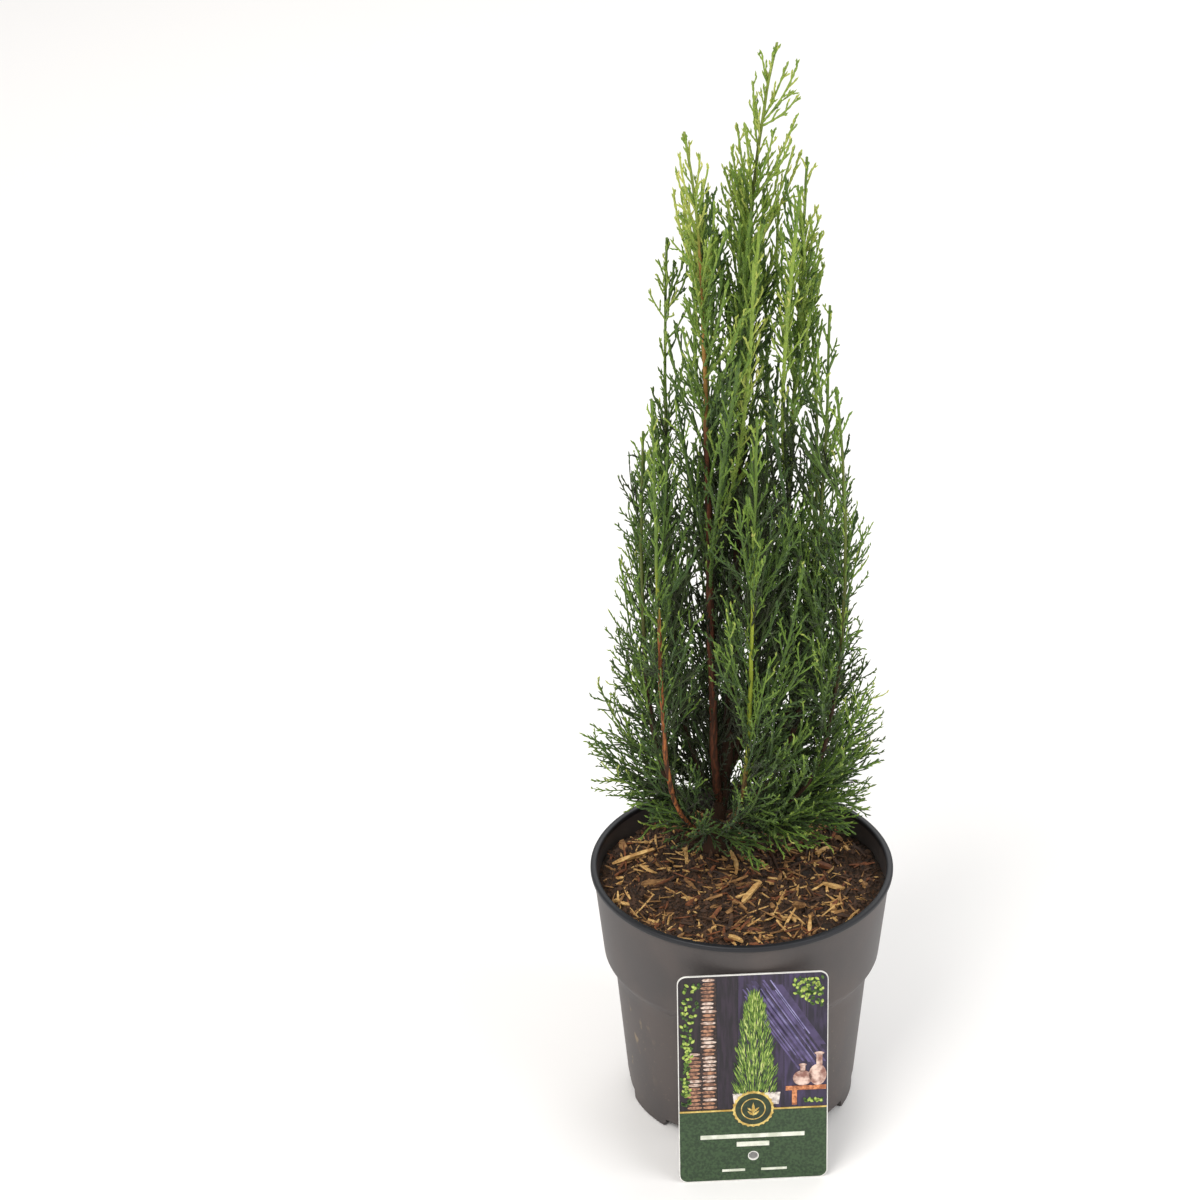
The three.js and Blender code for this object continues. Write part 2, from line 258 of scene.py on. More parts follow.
@dataclass(frozen=True)
class PotPlastic:
    """Moulded dark plastic: satin, faintly mottled, with dried splashes low on one side."""

    name: str = "pot_plastic"
    body: Colour = linear(71, 66, 65)
    dull: Colour = linear(83, 75, 72)
    lip: Colour = linear(24, 25, 30)
    splash: Colour = linear(168, 148, 118)

    def make(self, pot: "Pot") -> bpy.types.Material:
        """Builds the material for a pot's heights.

        Args:
            pot: The pot, whose lip is darker than its outside.

        Returns:
            The material.
        """
        net = Net(self.name)
        cloud = net.noise(30 * MM, 4.0, (1.0, 1.0, 1.6))
        grain = net.noise(1.1 * MM, 2.0)
        base = net.blend(cloud.above(0.35, 0.7), self.body, self.dull)
        height = net.axis("Z")
        inside = height.above(pot.lip_foot - 0.3 * MM, pot.lip_foot + 0.3 * MM)
        base = net.blend(inside, base, self.lip)
        left = (net.axis("X") * -1.0).above(48 * MM, 66 * MM)
        front = (net.axis("Y") * -1.0).above(8 * MM, 24 * MM)
        low = height.above(20 * MM, 34 * MM) * (1.0 - height.above(64 * MM, 84 * MM))
        splashes = net.noise(7 * MM, 3.0, (1.0, 1.0, 1.4)).above(0.6, 0.68) * left * front * low * 0.55
        dust = net.noise(2.2 * MM, 2.0).above(0.66, 0.72) * (1.0 - height.above(40 * MM, 120 * MM)) * 0.12
        base = net.blend(splashes + dust, base, self.splash)
        roughness = 0.42 + 0.14 * cloud + 0.25 * splashes
        net.surface(base, roughness, net.bump(grain + 0.6 * cloud, 0.12 * MM, 0.35), Specular_IOR_Level=0.42)
        return net.material


@dataclass(frozen=True)
class DampPeat:
    """Dark, damp growing medium."""

    name: str = "damp_peat"
    dark: Colour = linear(20, 12, 5)
    brown: Colour = linear(56, 37, 19)
    red: Colour = linear(82, 50, 26)

    def make(self) -> bpy.types.Material:
        """Builds the material.

        Returns:
            The material.
        """
        net = Net(self.name)
        crumbs = net.noise(1.7 * MM, 4.0)
        patches = net.noise(16 * MM, 3.0)
        base = net.ramp(crumbs, (0.32, self.dark), (0.52, self.brown), (0.72, self.red))
        base = net.blend(patches.above(0.45, 0.65) * 0.6, base, self.dark)
        roughness = 0.95 - 0.2 * patches.above(0.5, 0.7)
        net.surface(base, roughness, net.bump(crumbs, 1.4 * MM, 0.9))
        return net.material


@dataclass(frozen=True)
class ChipWood:
    """Splintered bark and wood, with its grain along the splinters' mixed directions."""

    name: str
    light: Colour
    dark: Colour

    def make(self) -> bpy.types.Material:
        """Builds the material.

        Returns:
            The material.
        """
        net = Net(self.name)
        grain = net.noise(1.1 * MM, 3.0, (2.2, 1.0, 1.0))
        patch = net.noise(6 * MM, 2.0)
        mask = 0.55 * grain.above(0.35, 0.65) + 0.45 * patch.above(0.4, 0.65)
        base = net.blend(mask, self.dark, self.light)
        net.surface(base, 0.7 + 0.2 * grain, net.bump(grain, 0.5 * MM, 0.7))
        return net.material


@dataclass(frozen=True)
class StemBark:
    """A stem's skin: fissured bark at its foot, turning to smooth green skin towards its tip."""

    name: str
    old: Colour
    young: Colour
    tip: Colour
    turn_low: float  # the height at which the bark starts to turn to young skin
    turn_high: float
    green_from: float  # the height at which that has become a green shoot
    fissure: Colour = linear(66, 42, 28)

    def make(self) -> bpy.types.Material:
        """Builds the material.

        Returns:
            The material.
        """
        net = Net(self.name)
        streaks = net.noise(1.3 * MM, 4.0, (1.0, 1.0, 7.0))
        flakes = net.noise(6 * MM, 3.0, (1.0, 1.0, 3.0))
        height = net.axis("Z")
        bark = net.blend(streaks.above(0.4, 0.62), self.fissure, self.old)
        patchy = (height + (flakes - 0.5) * (46 * MM)).above(self.turn_low, self.turn_high)
        skin = net.blend(patchy, bark, self.young)
        skin = net.blend(height.above(self.green_from - 30 * MM, self.green_from), skin, self.tip)
        relief = net.bump(streaks + 0.5 * flakes, 0.5 * MM, 0.8)
        net.surface(skin, 0.82 - 0.22 * patchy, relief, Specular_IOR_Level=0.35)
        return net.material


class Tint(Enum):
    """The foliage's colours, from painted shade for the crown's inside to the newest tips, with painted light
    on the outer twigs: each one's vigour level and colour.
    """

    # SHADE and DEEP are painted shade for twigs deep in the crown; the brightest tints are fresh growth with
    # painted light added on outer twigs
    SHADE = (0.12, linear(35, 42, 15))
    DEEP = (0.22, linear(49, 65, 22))
    COOL = (0.31, linear(57, 82, 33))
    MID = (0.40, linear(78, 104, 37))
    LEAF = (0.50, linear(102, 131, 46))
    FRESH = (0.61, linear(131, 154, 60))
    BRIGHT = (0.73, linear(166, 177, 82))
    GOLD = (0.86, linear(196, 194, 108))

    def make(self) -> bpy.types.Material:
        """Builds this tint's material: one plain colour under a faint waxy sheen.

        Returns:
            The material.
        """
        net = Net(f"leaf_{self.name.lower()}")
        constants = {"Specular_IOR_Level": 0.3, "Sheen_Weight": 0.12, "Sheen_Roughness": 0.5}
        net.surface(self.value[1], 0.62, None, **constants)
        return net.material


@dataclass(frozen=True)
class CardInk:
    """Ink on laminated card: a colour that a soft light pattern moves between two shades."""

    name: str
    dark: Colour
    light: Colour
    size: float = 3 * MM
    stretch: Triple = (1.0, 1.0, 1.0)
    roughness: float = 0.34

    def make(self) -> bpy.types.Material:
        """Builds the material.

        Returns:
            The material.
        """
        net = Net(self.name)
        blotch = net.noise(self.size, 3.0, self.stretch)
        base = net.blend(blotch.above(0.36, 0.64), self.dark, self.light)
        net.surface(base, self.roughness, None, Specular_IOR_Level=0.4, Coat_Weight=0.15)
        return net.material


@dataclass(frozen=True)
class StudioFloor:
    """A plain pale floor."""

    name: str = "studio_floor"
    colour: Colour = linear(247, 245, 243)

    def make(self) -> bpy.types.Material:
        """Builds the material.

        Returns:
            The material.
        """
        net = Net(self.name)
        net.surface(self.colour, 0.9, None, Specular_IOR_Level=0.1)
        return net.material


# ---- Meshes -------------------------------------------------------------------------------------


def mesh_object(
    name: str, points: np.ndarray, faces: np.ndarray | list, smooth: bool = False
) -> bpy.types.Object:
    """Makes a mesh object.

    Args:
        name: The piece's name.
        points: Its vertices, one row each.
        faces: Its faces, as rows of vertex numbers, or as a list where their sides differ in number.
        smooth: Whether its faces are shaded smoothly.

    Returns:
        The object, linked to the scene.
    """
    mesh = bpy.data.meshes.new(name)
    if isinstance(faces, np.ndarray):
        count, sides = faces.shape
        mesh.vertices.add(len(points))
        mesh.vertices.foreach_set("co", np.ascontiguousarray(points, dtype=np.float32).ravel())
        mesh.loops.add(count * sides)
        mesh.loops.foreach_set("vertex_index", np.ascontiguousarray(faces, dtype=np.int32).ravel())
        mesh.polygons.add(count)
        mesh.polygons.foreach_set("loop_start", np.arange(0, count * sides, sides, dtype=np.int32))
    else:
        mesh.from_pydata([tuple(p) for p in points], [], faces)
    mesh.update(calc_edges=True)
    mesh.validate()
    mesh.shade_smooth() if smooth else mesh.shade_flat()
    made = bpy.data.objects.new(name, mesh)
    bpy.context.scene.collection.objects.link(made)
    return made


def dress(piece: bpy.types.Object, material: bpy.types.Material, nodes: Iterable[str]) -> None:
    """Gives a piece its material, its body and the nodes that it stands for.

    Args:
        piece: The piece.
        material: Its material.
        nodes: The frame nodes that it replaces.
    """
    piece.data.materials.append(material)
    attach(piece, BODY)
    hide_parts(*nodes)
    LOG.info("%s: %d faces", piece.name, len(piece.data.polygons))


def tube_faces(rings: int, sides: int) -> np.ndarray:
    """Returns the quads that join rings of points, each ring closed on itself.

    Args:
        rings: How many rings there are.
        sides: How many points each has.

    Returns:
        The quads, one row each.
    """
    ring, side = np.meshgrid(np.arange(rings - 1), np.arange(sides), indexing="ij")
    here = ring * sides + side
    there = ring * sides + (side + 1) % sides
    return np.stack([here, there, there + sides, here + sides], axis=-1).reshape(-1, 4)


def closed_tube(rings: int, sides: int) -> list[tuple[int, ...]]:
    """Returns the faces of rings of points joined into a tube, with a cap at each end."""
    caps = [tuple(range(sides))[::-1], tuple(range((rings - 1) * sides, rings * sides))]
    return [tuple(quad) for quad in tube_faces(rings, sides)] + caps


def circle(count: int) -> np.ndarray:
    """Returns evenly spaced angles round a full turn."""
    return 2 * math.pi * np.arange(count) / count


def join(parts: Sequence[Mesh]) -> Mesh:
    """Joins meshes whose faces have the same number of sides into one.

    Args:
        parts: The meshes.

    Returns:
        The joined points and faces.
    """
    starts = np.cumsum([0] + [len(points) for points, _ in parts])
    faces = [faces + start for (_, faces), start in zip(parts, starts)]
    return np.concatenate([points for points, _ in parts]), np.concatenate(faces)


def without_spares(points: np.ndarray, faces: np.ndarray) -> Mesh:
    """Keeps only the points that the faces use."""
    used, numbers = np.unique(faces, return_inverse=True)
    return points[used], numbers.reshape(faces.shape)


def lattice_noise(x: np.ndarray, y: np.ndarray, size: float, seed: int) -> np.ndarray:
    """Returns smooth noise from -1 to 1 over a plane.

    Args:
        x: The places' first coordinates.
        y: Their second coordinates.
        size: The distance between the lattice's points.
        seed: Which noise it is.

    Returns:
        One value for each place.
    """
    cells = 64  # after which it repeats
    table = np.random.default_rng(seed).uniform(-1, 1, (cells, cells))
    u, v = x / size, y / size
    column, row = np.floor(u).astype(int), np.floor(v).astype(int)
    p, q = u - column, v - row
    p, q = p * p * (3 - 2 * p), q * q * (3 - 2 * q)
    near, far = column % cells, (column + 1) % cells
    lines = (row % cells, (row + 1) % cells)
    low, high = (table[near, line] * (1 - p) + table[far, line] * p for line in lines)
    return low * (1 - q) + high * q


# ---- The frame's limbs and masses ---------------------------------------------------------------


class Limb:
    """A trunk or bough: its line from foot to tip, as a function of height, and its radius."""

    def __init__(self, name: str, points: np.ndarray, radii: np.ndarray) -> None:
        """Keeps the line, densely and smoothly resampled.

        Args:
            name: The limb's name.
            points: Places on its line, from foot to tip.
            radii: Its radius at each place.
        """
        self.name = name
        heights = np.linspace(points[0, 2], points[-1, 2], 160)
        slopes = np.gradient(points[:, :2], points[:, 2], axis=0)
        cell = np.clip(np.searchsorted(points[:, 2], heights, side="right") - 1, 0, len(points) - 2)
        span = points[cell + 1, 2] - points[cell, 2]
        t = ((heights - points[cell, 2]) / span)[:, None]
        start, end = points[cell, :2], points[cell + 1, :2]
        pull_out, pull_in = slopes[cell] * span[:, None], slopes[cell + 1] * span[:, None]
        across = (
            (2 * t**3 - 3 * t**2 + 1) * start
            + (t**3 - 2 * t**2 + t) * pull_out
            + (3 * t**2 - 2 * t**3) * end
            + (t**3 - t**2) * pull_in
        )
        self.line = np.column_stack([across, heights])
        self.radii = np.interp(heights, points[:, 2], radii)

    @property
    def low(self) -> float:
        """The height of its foot."""
        return float(self.line[0, 2])

    @property
    def high(self) -> float:
        """The height of its tip."""
        return float(self.line[-1, 2])

    def at(self, heights: np.ndarray) -> np.ndarray:
        """Returns the places on the line at these heights."""
        across = [np.interp(heights, self.line[:, 2], self.line[:, k]) for k in (0, 1)]
        return np.column_stack([*across, heights])

    def radius(self, heights: np.ndarray) -> np.ndarray:
        """Returns the radius at these heights."""
        return np.interp(heights, self.line[:, 2], self.radii)


def node_edges(name: str) -> tuple[np.ndarray, np.ndarray]:
    """Returns the two ends of every edge of a frame node.

    Args:
        name: The node's name.

    Returns:
        The first ends and the second ends, one row for each edge.
    """
    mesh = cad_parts[name].data
    points = np.empty(len(mesh.vertices) * 3)
    mesh.vertices.foreach_get("co", points)
    ends = np.empty(len(mesh.edges) * 2, dtype=np.int32)
    mesh.edges.foreach_get("vertices", ends)
    points = points.reshape(-1, 3)
    ends = ends.reshape(-1, 2)
    return points[ends[:, 0]], points[ends[:, 1]]


def centre_slices(name: str, heights: np.ndarray) -> tuple[np.ndarray, np.ndarray]:
    """Slices a frame node at some heights.

    Args:
        name: The node.
        heights: Where it is sliced.

    Returns:
        The middle of each slice, and its radius.
    """
    first, second = node_edges(name)
    middles, radii = [], []
    for height in heights:
        crosses = (first[:, 2] - height) * (second[:, 2] - height) < 0
        a, b = first[crosses], second[crosses]
        share = ((height - a[:, 2]) / (b[:, 2] - a[:, 2]))[:, None]
        cut = a + (b - a) * share
        low, high = cut.min(axis=0), cut.max(axis=0)
        middles.append([*((low + high) / 2)[:2], height])
        radii.append((high - low)[:2].mean() / 2)
    return np.array(middles), np.array(radii)


class Mass:
    """A foliage mass of the frame, which twigs grow to fill."""

    def __init__(self, name: str) -> None:
        """Reads the node's shape.

        Args:
            name: The node's name.
        """
        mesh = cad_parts[name].data
        points = [v.co.copy() for v in mesh.vertices]
        self.tree = BVHTree.FromPolygons(points, [tuple(p.vertices) for p in mesh.polygons])
        self.low, self.high = (np.array(corner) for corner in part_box(name))
        self.tip = np.array(max(points, key=lambda p: p.z))

    def holds(self, place: Vector) -> bool:
        """Says whether a place is inside: a line up from it then leaves the mass once more than it enters.

        Args:
            place: The place.

        Returns:
            Whether it is inside.
        """
        up, past = Vector((0.0, 0.0, 1.0)), Vector((0.0, 0.0, 0.01 * MM))
        crossings = 0
        hit = self.tree.ray_cast(place, up)[0]
        while hit is not None:
            crossings += 1
            hit = self.tree.ray_cast(hit + past, up)[0]
        return crossings % 2 == 1

    def scatter(
        self, density: float, shell: float, inner: float, rng: np.random.Generator
    ) -> list[np.ndarray]:
        """Scatters places through the mass, most of them near its surface.

        Args:
            density: Tries for each cubic metre of its box.
            shell: The depth within which every place is kept.
            inner: The share of the deeper ones that is kept.
            rng: The random numbers.

        Returns:
            The places.
        """
        size = self.high - self.low
        tries = self.low + rng.random((int(density * size.prod()), 3)) * size
        lottery = rng.random(len(tries))
        places = []
        for place, luck in zip(tries, lottery):
            depth = self.tree.find_nearest(Vector(place))[3]
            if luck < (1.0 if depth < shell else inner) and self.holds(Vector(place)):
                places.append(place)
        return places


# ---- Twigs --------------------------------------------------------------------------------------


@dataclass(frozen=True)
class TwigRule:
    """How one order of twigs grows on the order before it. Lengths in metres, angles in degrees."""

    spacing: float  # along the parent
    bare: float  # the share of the parent that bears none
    angle: float  # off the parent
    roll: float  # the spread of the angle out of the spray's plane
    reach: float  # length, as a share of what is left of the parent beyond it
    least: float
    most: float
    turn: float  # how far it bends back towards its parent's line and upwards
    radius: float
    steps: int = 6
    fresher: float = 0.28  # how much fresher its twigs are at the parent's tip than at its foot


@dataclass
class Twigs:
    """A batch of twigs of one order."""

    line: np.ndarray  # (count, steps, 3)
    normal: np.ndarray  # (count, 3), square to the plane of its spray
    radius: np.ndarray  # (count,)
    # this value holds painted light and shade as well as freshness: twigs deep in the crown get lower values,
    # outer ones higher
    vigour_and_light: np.ndarray  # (count,), from 0 for shaded to 1 for newest

    @property
    def length(self) -> np.ndarray:
        """Each twig's length."""
        return np.linalg.norm(np.diff(self.line, axis=1), axis=2).sum(axis=1)

    def at(self, twig: np.ndarray, share: np.ndarray) -> tuple[np.ndarray, np.ndarray]:
        """Finds places along twigs.

        Args:
            twig: Which twig each place is on.
            share: How far along it, from 0 to 1.

        Returns:
            The places, and the directions of growth there.
        """
        spans = self.line.shape[1] - 1
        cell = np.clip((share * spans).astype(int), 0, spans - 1)
        here, there = self.line[twig, cell], self.line[twig, cell + 1]
        return here + (there - here) * (share * spans - cell)[:, None], unit(there - here)

    def bear(self, rule: TwigRule, rng: np.random.Generator) -> "Twigs":
        """Grows the next order, alternately to each side.

        Args:
            rule: How it grows.
            rng: The random numbers.

        Returns:
            The twigs of the next order.
        """
        length = self.length
        number = np.maximum(((1 - rule.bare) * length / rule.spacing).astype(int), 1)
        parent = np.repeat(np.arange(len(length)), number)
        serial = np.arange(len(parent)) - np.repeat(np.cumsum(number) - number, number)
        jitter = rng.uniform(0.15, 0.85, len(parent))
        share = rule.bare + (1 - rule.bare) * (serial + jitter) / number[parent]
        foot, along = self.at(parent, np.minimum(share, 0.995))
        side = unit(np.cross(self.normal[parent], along)) * np.where(serial % 2, 1.0, -1.0)[:, None]
        roll = np.radians(rng.normal(0.0, rule.roll, len(parent)))[:, None]
        out = side * np.cos(roll) + unit(np.cross(along, side)) * np.sin(roll)
        lean = np.radians(rule.angle * rng.uniform(0.7, 1.25, len(parent)))[:, None]
        heading = along * np.cos(lean) + out * np.sin(lean)
        left = (1 - share) * length[parent]
        reach = np.clip(rule.reach * left + rule.least, rule.least, rule.most)
        reach = reach * rng.uniform(0.65, 1.2, len(parent))
        goal = unit(along + 0.45 * UP)
        line = trail(foot, heading, goal, rule.turn, reach, rule.steps)
        vigour_and_light = self.vigour_and_light[parent] + rule.fresher * (share - 0.52) + rng.normal(0.0, 0.05, len(parent))
        radius = rule.radius * rng.uniform(0.88, 1.12, len(parent))
        return Twigs(line, unit(np.cross(heading, out) + 0.2 * along), radius, vigour_and_light)


def trail(
    foot: np.ndarray, heading: np.ndarray, goal: np.ndarray, turn: float, reach: np.ndarray, steps: int
) -> np.ndarray:
    """Makes lines that set off along a heading and turn towards a goal.

    Args:
        foot: Where each line starts.
        heading: Its first direction.
        goal: The direction that it turns to.
        turn: How much of the turn it makes, from 0 to 1.
        reach: Its length.
        steps: How many points it has.

    Returns:
        The lines, (count, steps, 3).
    """
    share = turn * (np.arange(steps - 1) + 0.5)[None, :, None] / (steps - 1)
    way = unit(heading[:, None] * (1 - share) + goal[:, None] * share)
    strides = way * (reach / (steps - 1))[:, None, None]
    return np.concatenate([foot[:, None], foot[:, None] + np.cumsum(strides, axis=1)], axis=1)


def skin_twigs(twigs: Twigs, pitch: float, taper: float) -> tuple[np.ndarray, np.ndarray, np.ndarray]:
    """Skins twigs as closed three-sided cords whose rings turn by a sixth, like overlapping scale leaves.

    Args:
        twigs: The twigs.
        pitch: The distance between rings.
        taper: The radius near the tip as a share of that at the foot.

    Returns:
        The vertices, the triangles, and the number of the twig that each triangle is on.
    """
    rings = np.maximum(np.ceil(twigs.length / pitch).astype(int), 2)
    twig = np.repeat(np.arange(len(rings)), rings)
    first = np.cumsum(rings) - rings
    serial = np.arange(len(twig)) - first[twig]
    share = serial / rings[twig]
    place, along = twigs.at(twig, share)
    side = unit(np.cross(along, twigs.normal[twig]))
    other = np.cross(along, side)
    swell = 1 + 0.16 * np.where(serial % 2, 1.0, -1.0) * (serial > 0)
    radius = twigs.radius[twig] * (1 - (1 - taper) * share) * swell
    turn = math.pi / 3 * serial
    corners = []
    for corner in range(3):
        angle = turn + 2 * math.pi / 3 * corner
        spoke = side * np.cos(angle)[:, None] + other * np.sin(angle)[:, None]
        corners.append(place + spoke * radius[:, None])
    ring_points = np.stack(corners, axis=1).reshape(-1, 3)
    tips = twigs.line[:, -1] + 0.4 * (twigs.line[:, -1] - twigs.line[:, -2]) / 2
    points = np.concatenate([ring_points, tips])
    ring_start = np.arange(len(twig)) * 3
    joined = serial < rings[twig] - 1
    triangles, owners = [], []
    for corner in range(3):
        nxt = (corner + 1) % 3
        a, b = ring_start[joined] + corner, ring_start[joined] + nxt
        c, d = a + 3, b + 3
        triangles += [np.column_stack([a, b, c]), np.column_stack([c, b, d])]
        owners += [twig[joined], twig[joined]]
        last = (first + rings - 1) * 3
        tip = len(ring_points) + np.arange(len(rings))
        triangles.append(np.column_stack([last + corner, last + nxt, tip]))
        owners.append(np.arange(len(rings)))
    triangles.append(np.column_stack([first * 3 + 2, first * 3 + 1, first * 3]))
    owners.append(np.arange(len(rings)))
    return points, np.concatenate(triangles), np.concatenate(owners)


# ---- The crown ----------------------------------------------------------------------------------

# a branch's vigour holds painted light and shade as well as freshness
Branch = tuple[np.ndarray, float, bool]  # its line, its vigour, and whether it is one of the bold ones


@dataclass(frozen=True)
class Habit:
    """How a mass is filled: how steeply its branches climb, and how its foliage's tints shift, darker as
    painted shade deep inside the crown.
    """

    steep: float  # degrees from upright
    loose: float  # the spread of that
    density: float  # tries for each cubic metre of its box
    vigour_and_light: float = 0.0
    inner: float = 0.35  # the share that is kept deep inside


class Skin(Enum):
    """How an order is skinned: the distance between rings, and the tip's radius as a share of the foot's."""

    FINE_BRANCH = (2.8 * MM, 0.6)
    BOLD_BRANCH = (2.2 * MM, 0.85)
    SHOOT = (2.0 * MM, 0.85)
    FINE_SPRAY = (2.1 * MM, 0.85)
    BOLD_SPRAY = (1.4 * MM, 1.0)
    CREST = (1.2 * MM, 1.05)
    FINE_TWIG = (2.0 * MM, 0.9)
    BOLD_TWIG = (1.25 * MM, 1.1)


PLUME = Habit(20, 7, 0.50e6, 0.0, 0.25)
SKIRT = Habit(47, 12, 0.60e6, 0.0, 0.35)
# HEART and FILL shift their tints darker by their fourth value: painted shade for foliage deep inside the
# crown
HEART = Habit(28, 10, 1.1e6, -0.10, 0.9)
FILL = Habit(22, 8, 0.36e6, -0.07)  # between the masses

FINE_SPRAY = TwigRule(5.6 * MM, 0.08, 34, 40, 0.50, 8 * MM, 34 * MM, 0.45, 0.48 * MM, 7)
FINE_TWIG = TwigRule(2.6 * MM, 0.06, 36, 42, 0.16, 2.4 * MM, 5.5 * MM, 0.3, 0.45 * MM, 4)
BOLD_SPRAY = TwigRule(5.0 * MM, 0.10, 33, 50, 0.26, 4 * MM, 18 * MM, 0.45, 0.54 * MM, 6, 0.14)
BOLD_TWIG = TwigRule(3.7 * MM, 0.22, 40, 45, 0.30, 2.6 * MM, 6 * MM, 0.35, 0.50 * MM, 4, 0.10)
CREST = TwigRule(1.8 * MM, 0.88, 19, 70, 0.0, 4.0 * MM, 5.6 * MM, 0.2, 0.66 * MM, 4, -0.08)
STEM_CREST = replace(CREST, bare=0.985, spacing=0.8 * MM)
STEM_FINE = TwigRule(2.9 * MM, 0.0, 30, 70, 0.10, 10 * MM, 20 * MM, 0.5, 0.5 * MM, 7)
STEM_BOLD = TwigRule(5.6 * MM, 0.0, 32, 70, 0.20, 7 * MM, 26 * MM, 0.45, 0.57 * MM, 7, 0.14)

# The long side shoots near the crown's top: the height at which each leaves its lead, and its tip,
# in millimetres.
SHOOTS: dict[str, list[tuple[float, Triple]]] = {
    "trunk": [
        (612, (10, 27, 630)),
        (592, (28, 18, 626)),
        (594, (23, 30, 621)),
        (590, (28, 22, 607)),
        (578, (6, 32, 612)),
        (552, (25, 12, 588)),
        (556, (16, 15, 592)),
        (548, (28, 25, 595)),
        (544, (-2, 36, 587)),
        (540, (1, 17, 594)),
        (528, (-5, 30, 576)),
        (524, (27, 27, 577)),
        (516, (31, 36, 570)),
        (520, (-9, 26, 566)),
        (510, (-11, 16, 560)),
    ],
    "third_leader": [(505, (36, 14, 540)), (492, (42, 24, 531)), (474, (42, 35, 514)), (468, (38, 12, 510))],
    "second_leader": [
        (560, (-22, 16, 580)),
        (550, (-18, 6, 576)),
        (552, (-33, 4, 583)),
        (540, (-35, 14, 571)),
        (510, (-36, 18, 557)),
        (516, (-15, 6, 554)),
    ],
}
SHOWN_STEMS = {  # foliage seldom hangs in front of these between two heights, in millimetres
    "second_leader": (150, 460),
    "left_front": (150, 330),
    "centre_front": (250, 365),
}
BARE_STEMS = ("second_leader", "left_front")  # these bear sprays only from the foot of their masses
STEM_VIGOUR = {"centre_front": 0.10, "left_front": 0.06}  # how much fresher these leads' own sprays are
DRAWN_IN = {"right_outer": 0.84, "left": 0.92, "third_leader": 0.92}  # these tips stand nearer the middle
TIP_RADIUS = 0.72 * MM
LATE_BEND = 5  # the power by which the second leader turns to its tip; the others turn sooner
SOFT_BEND = 1.7


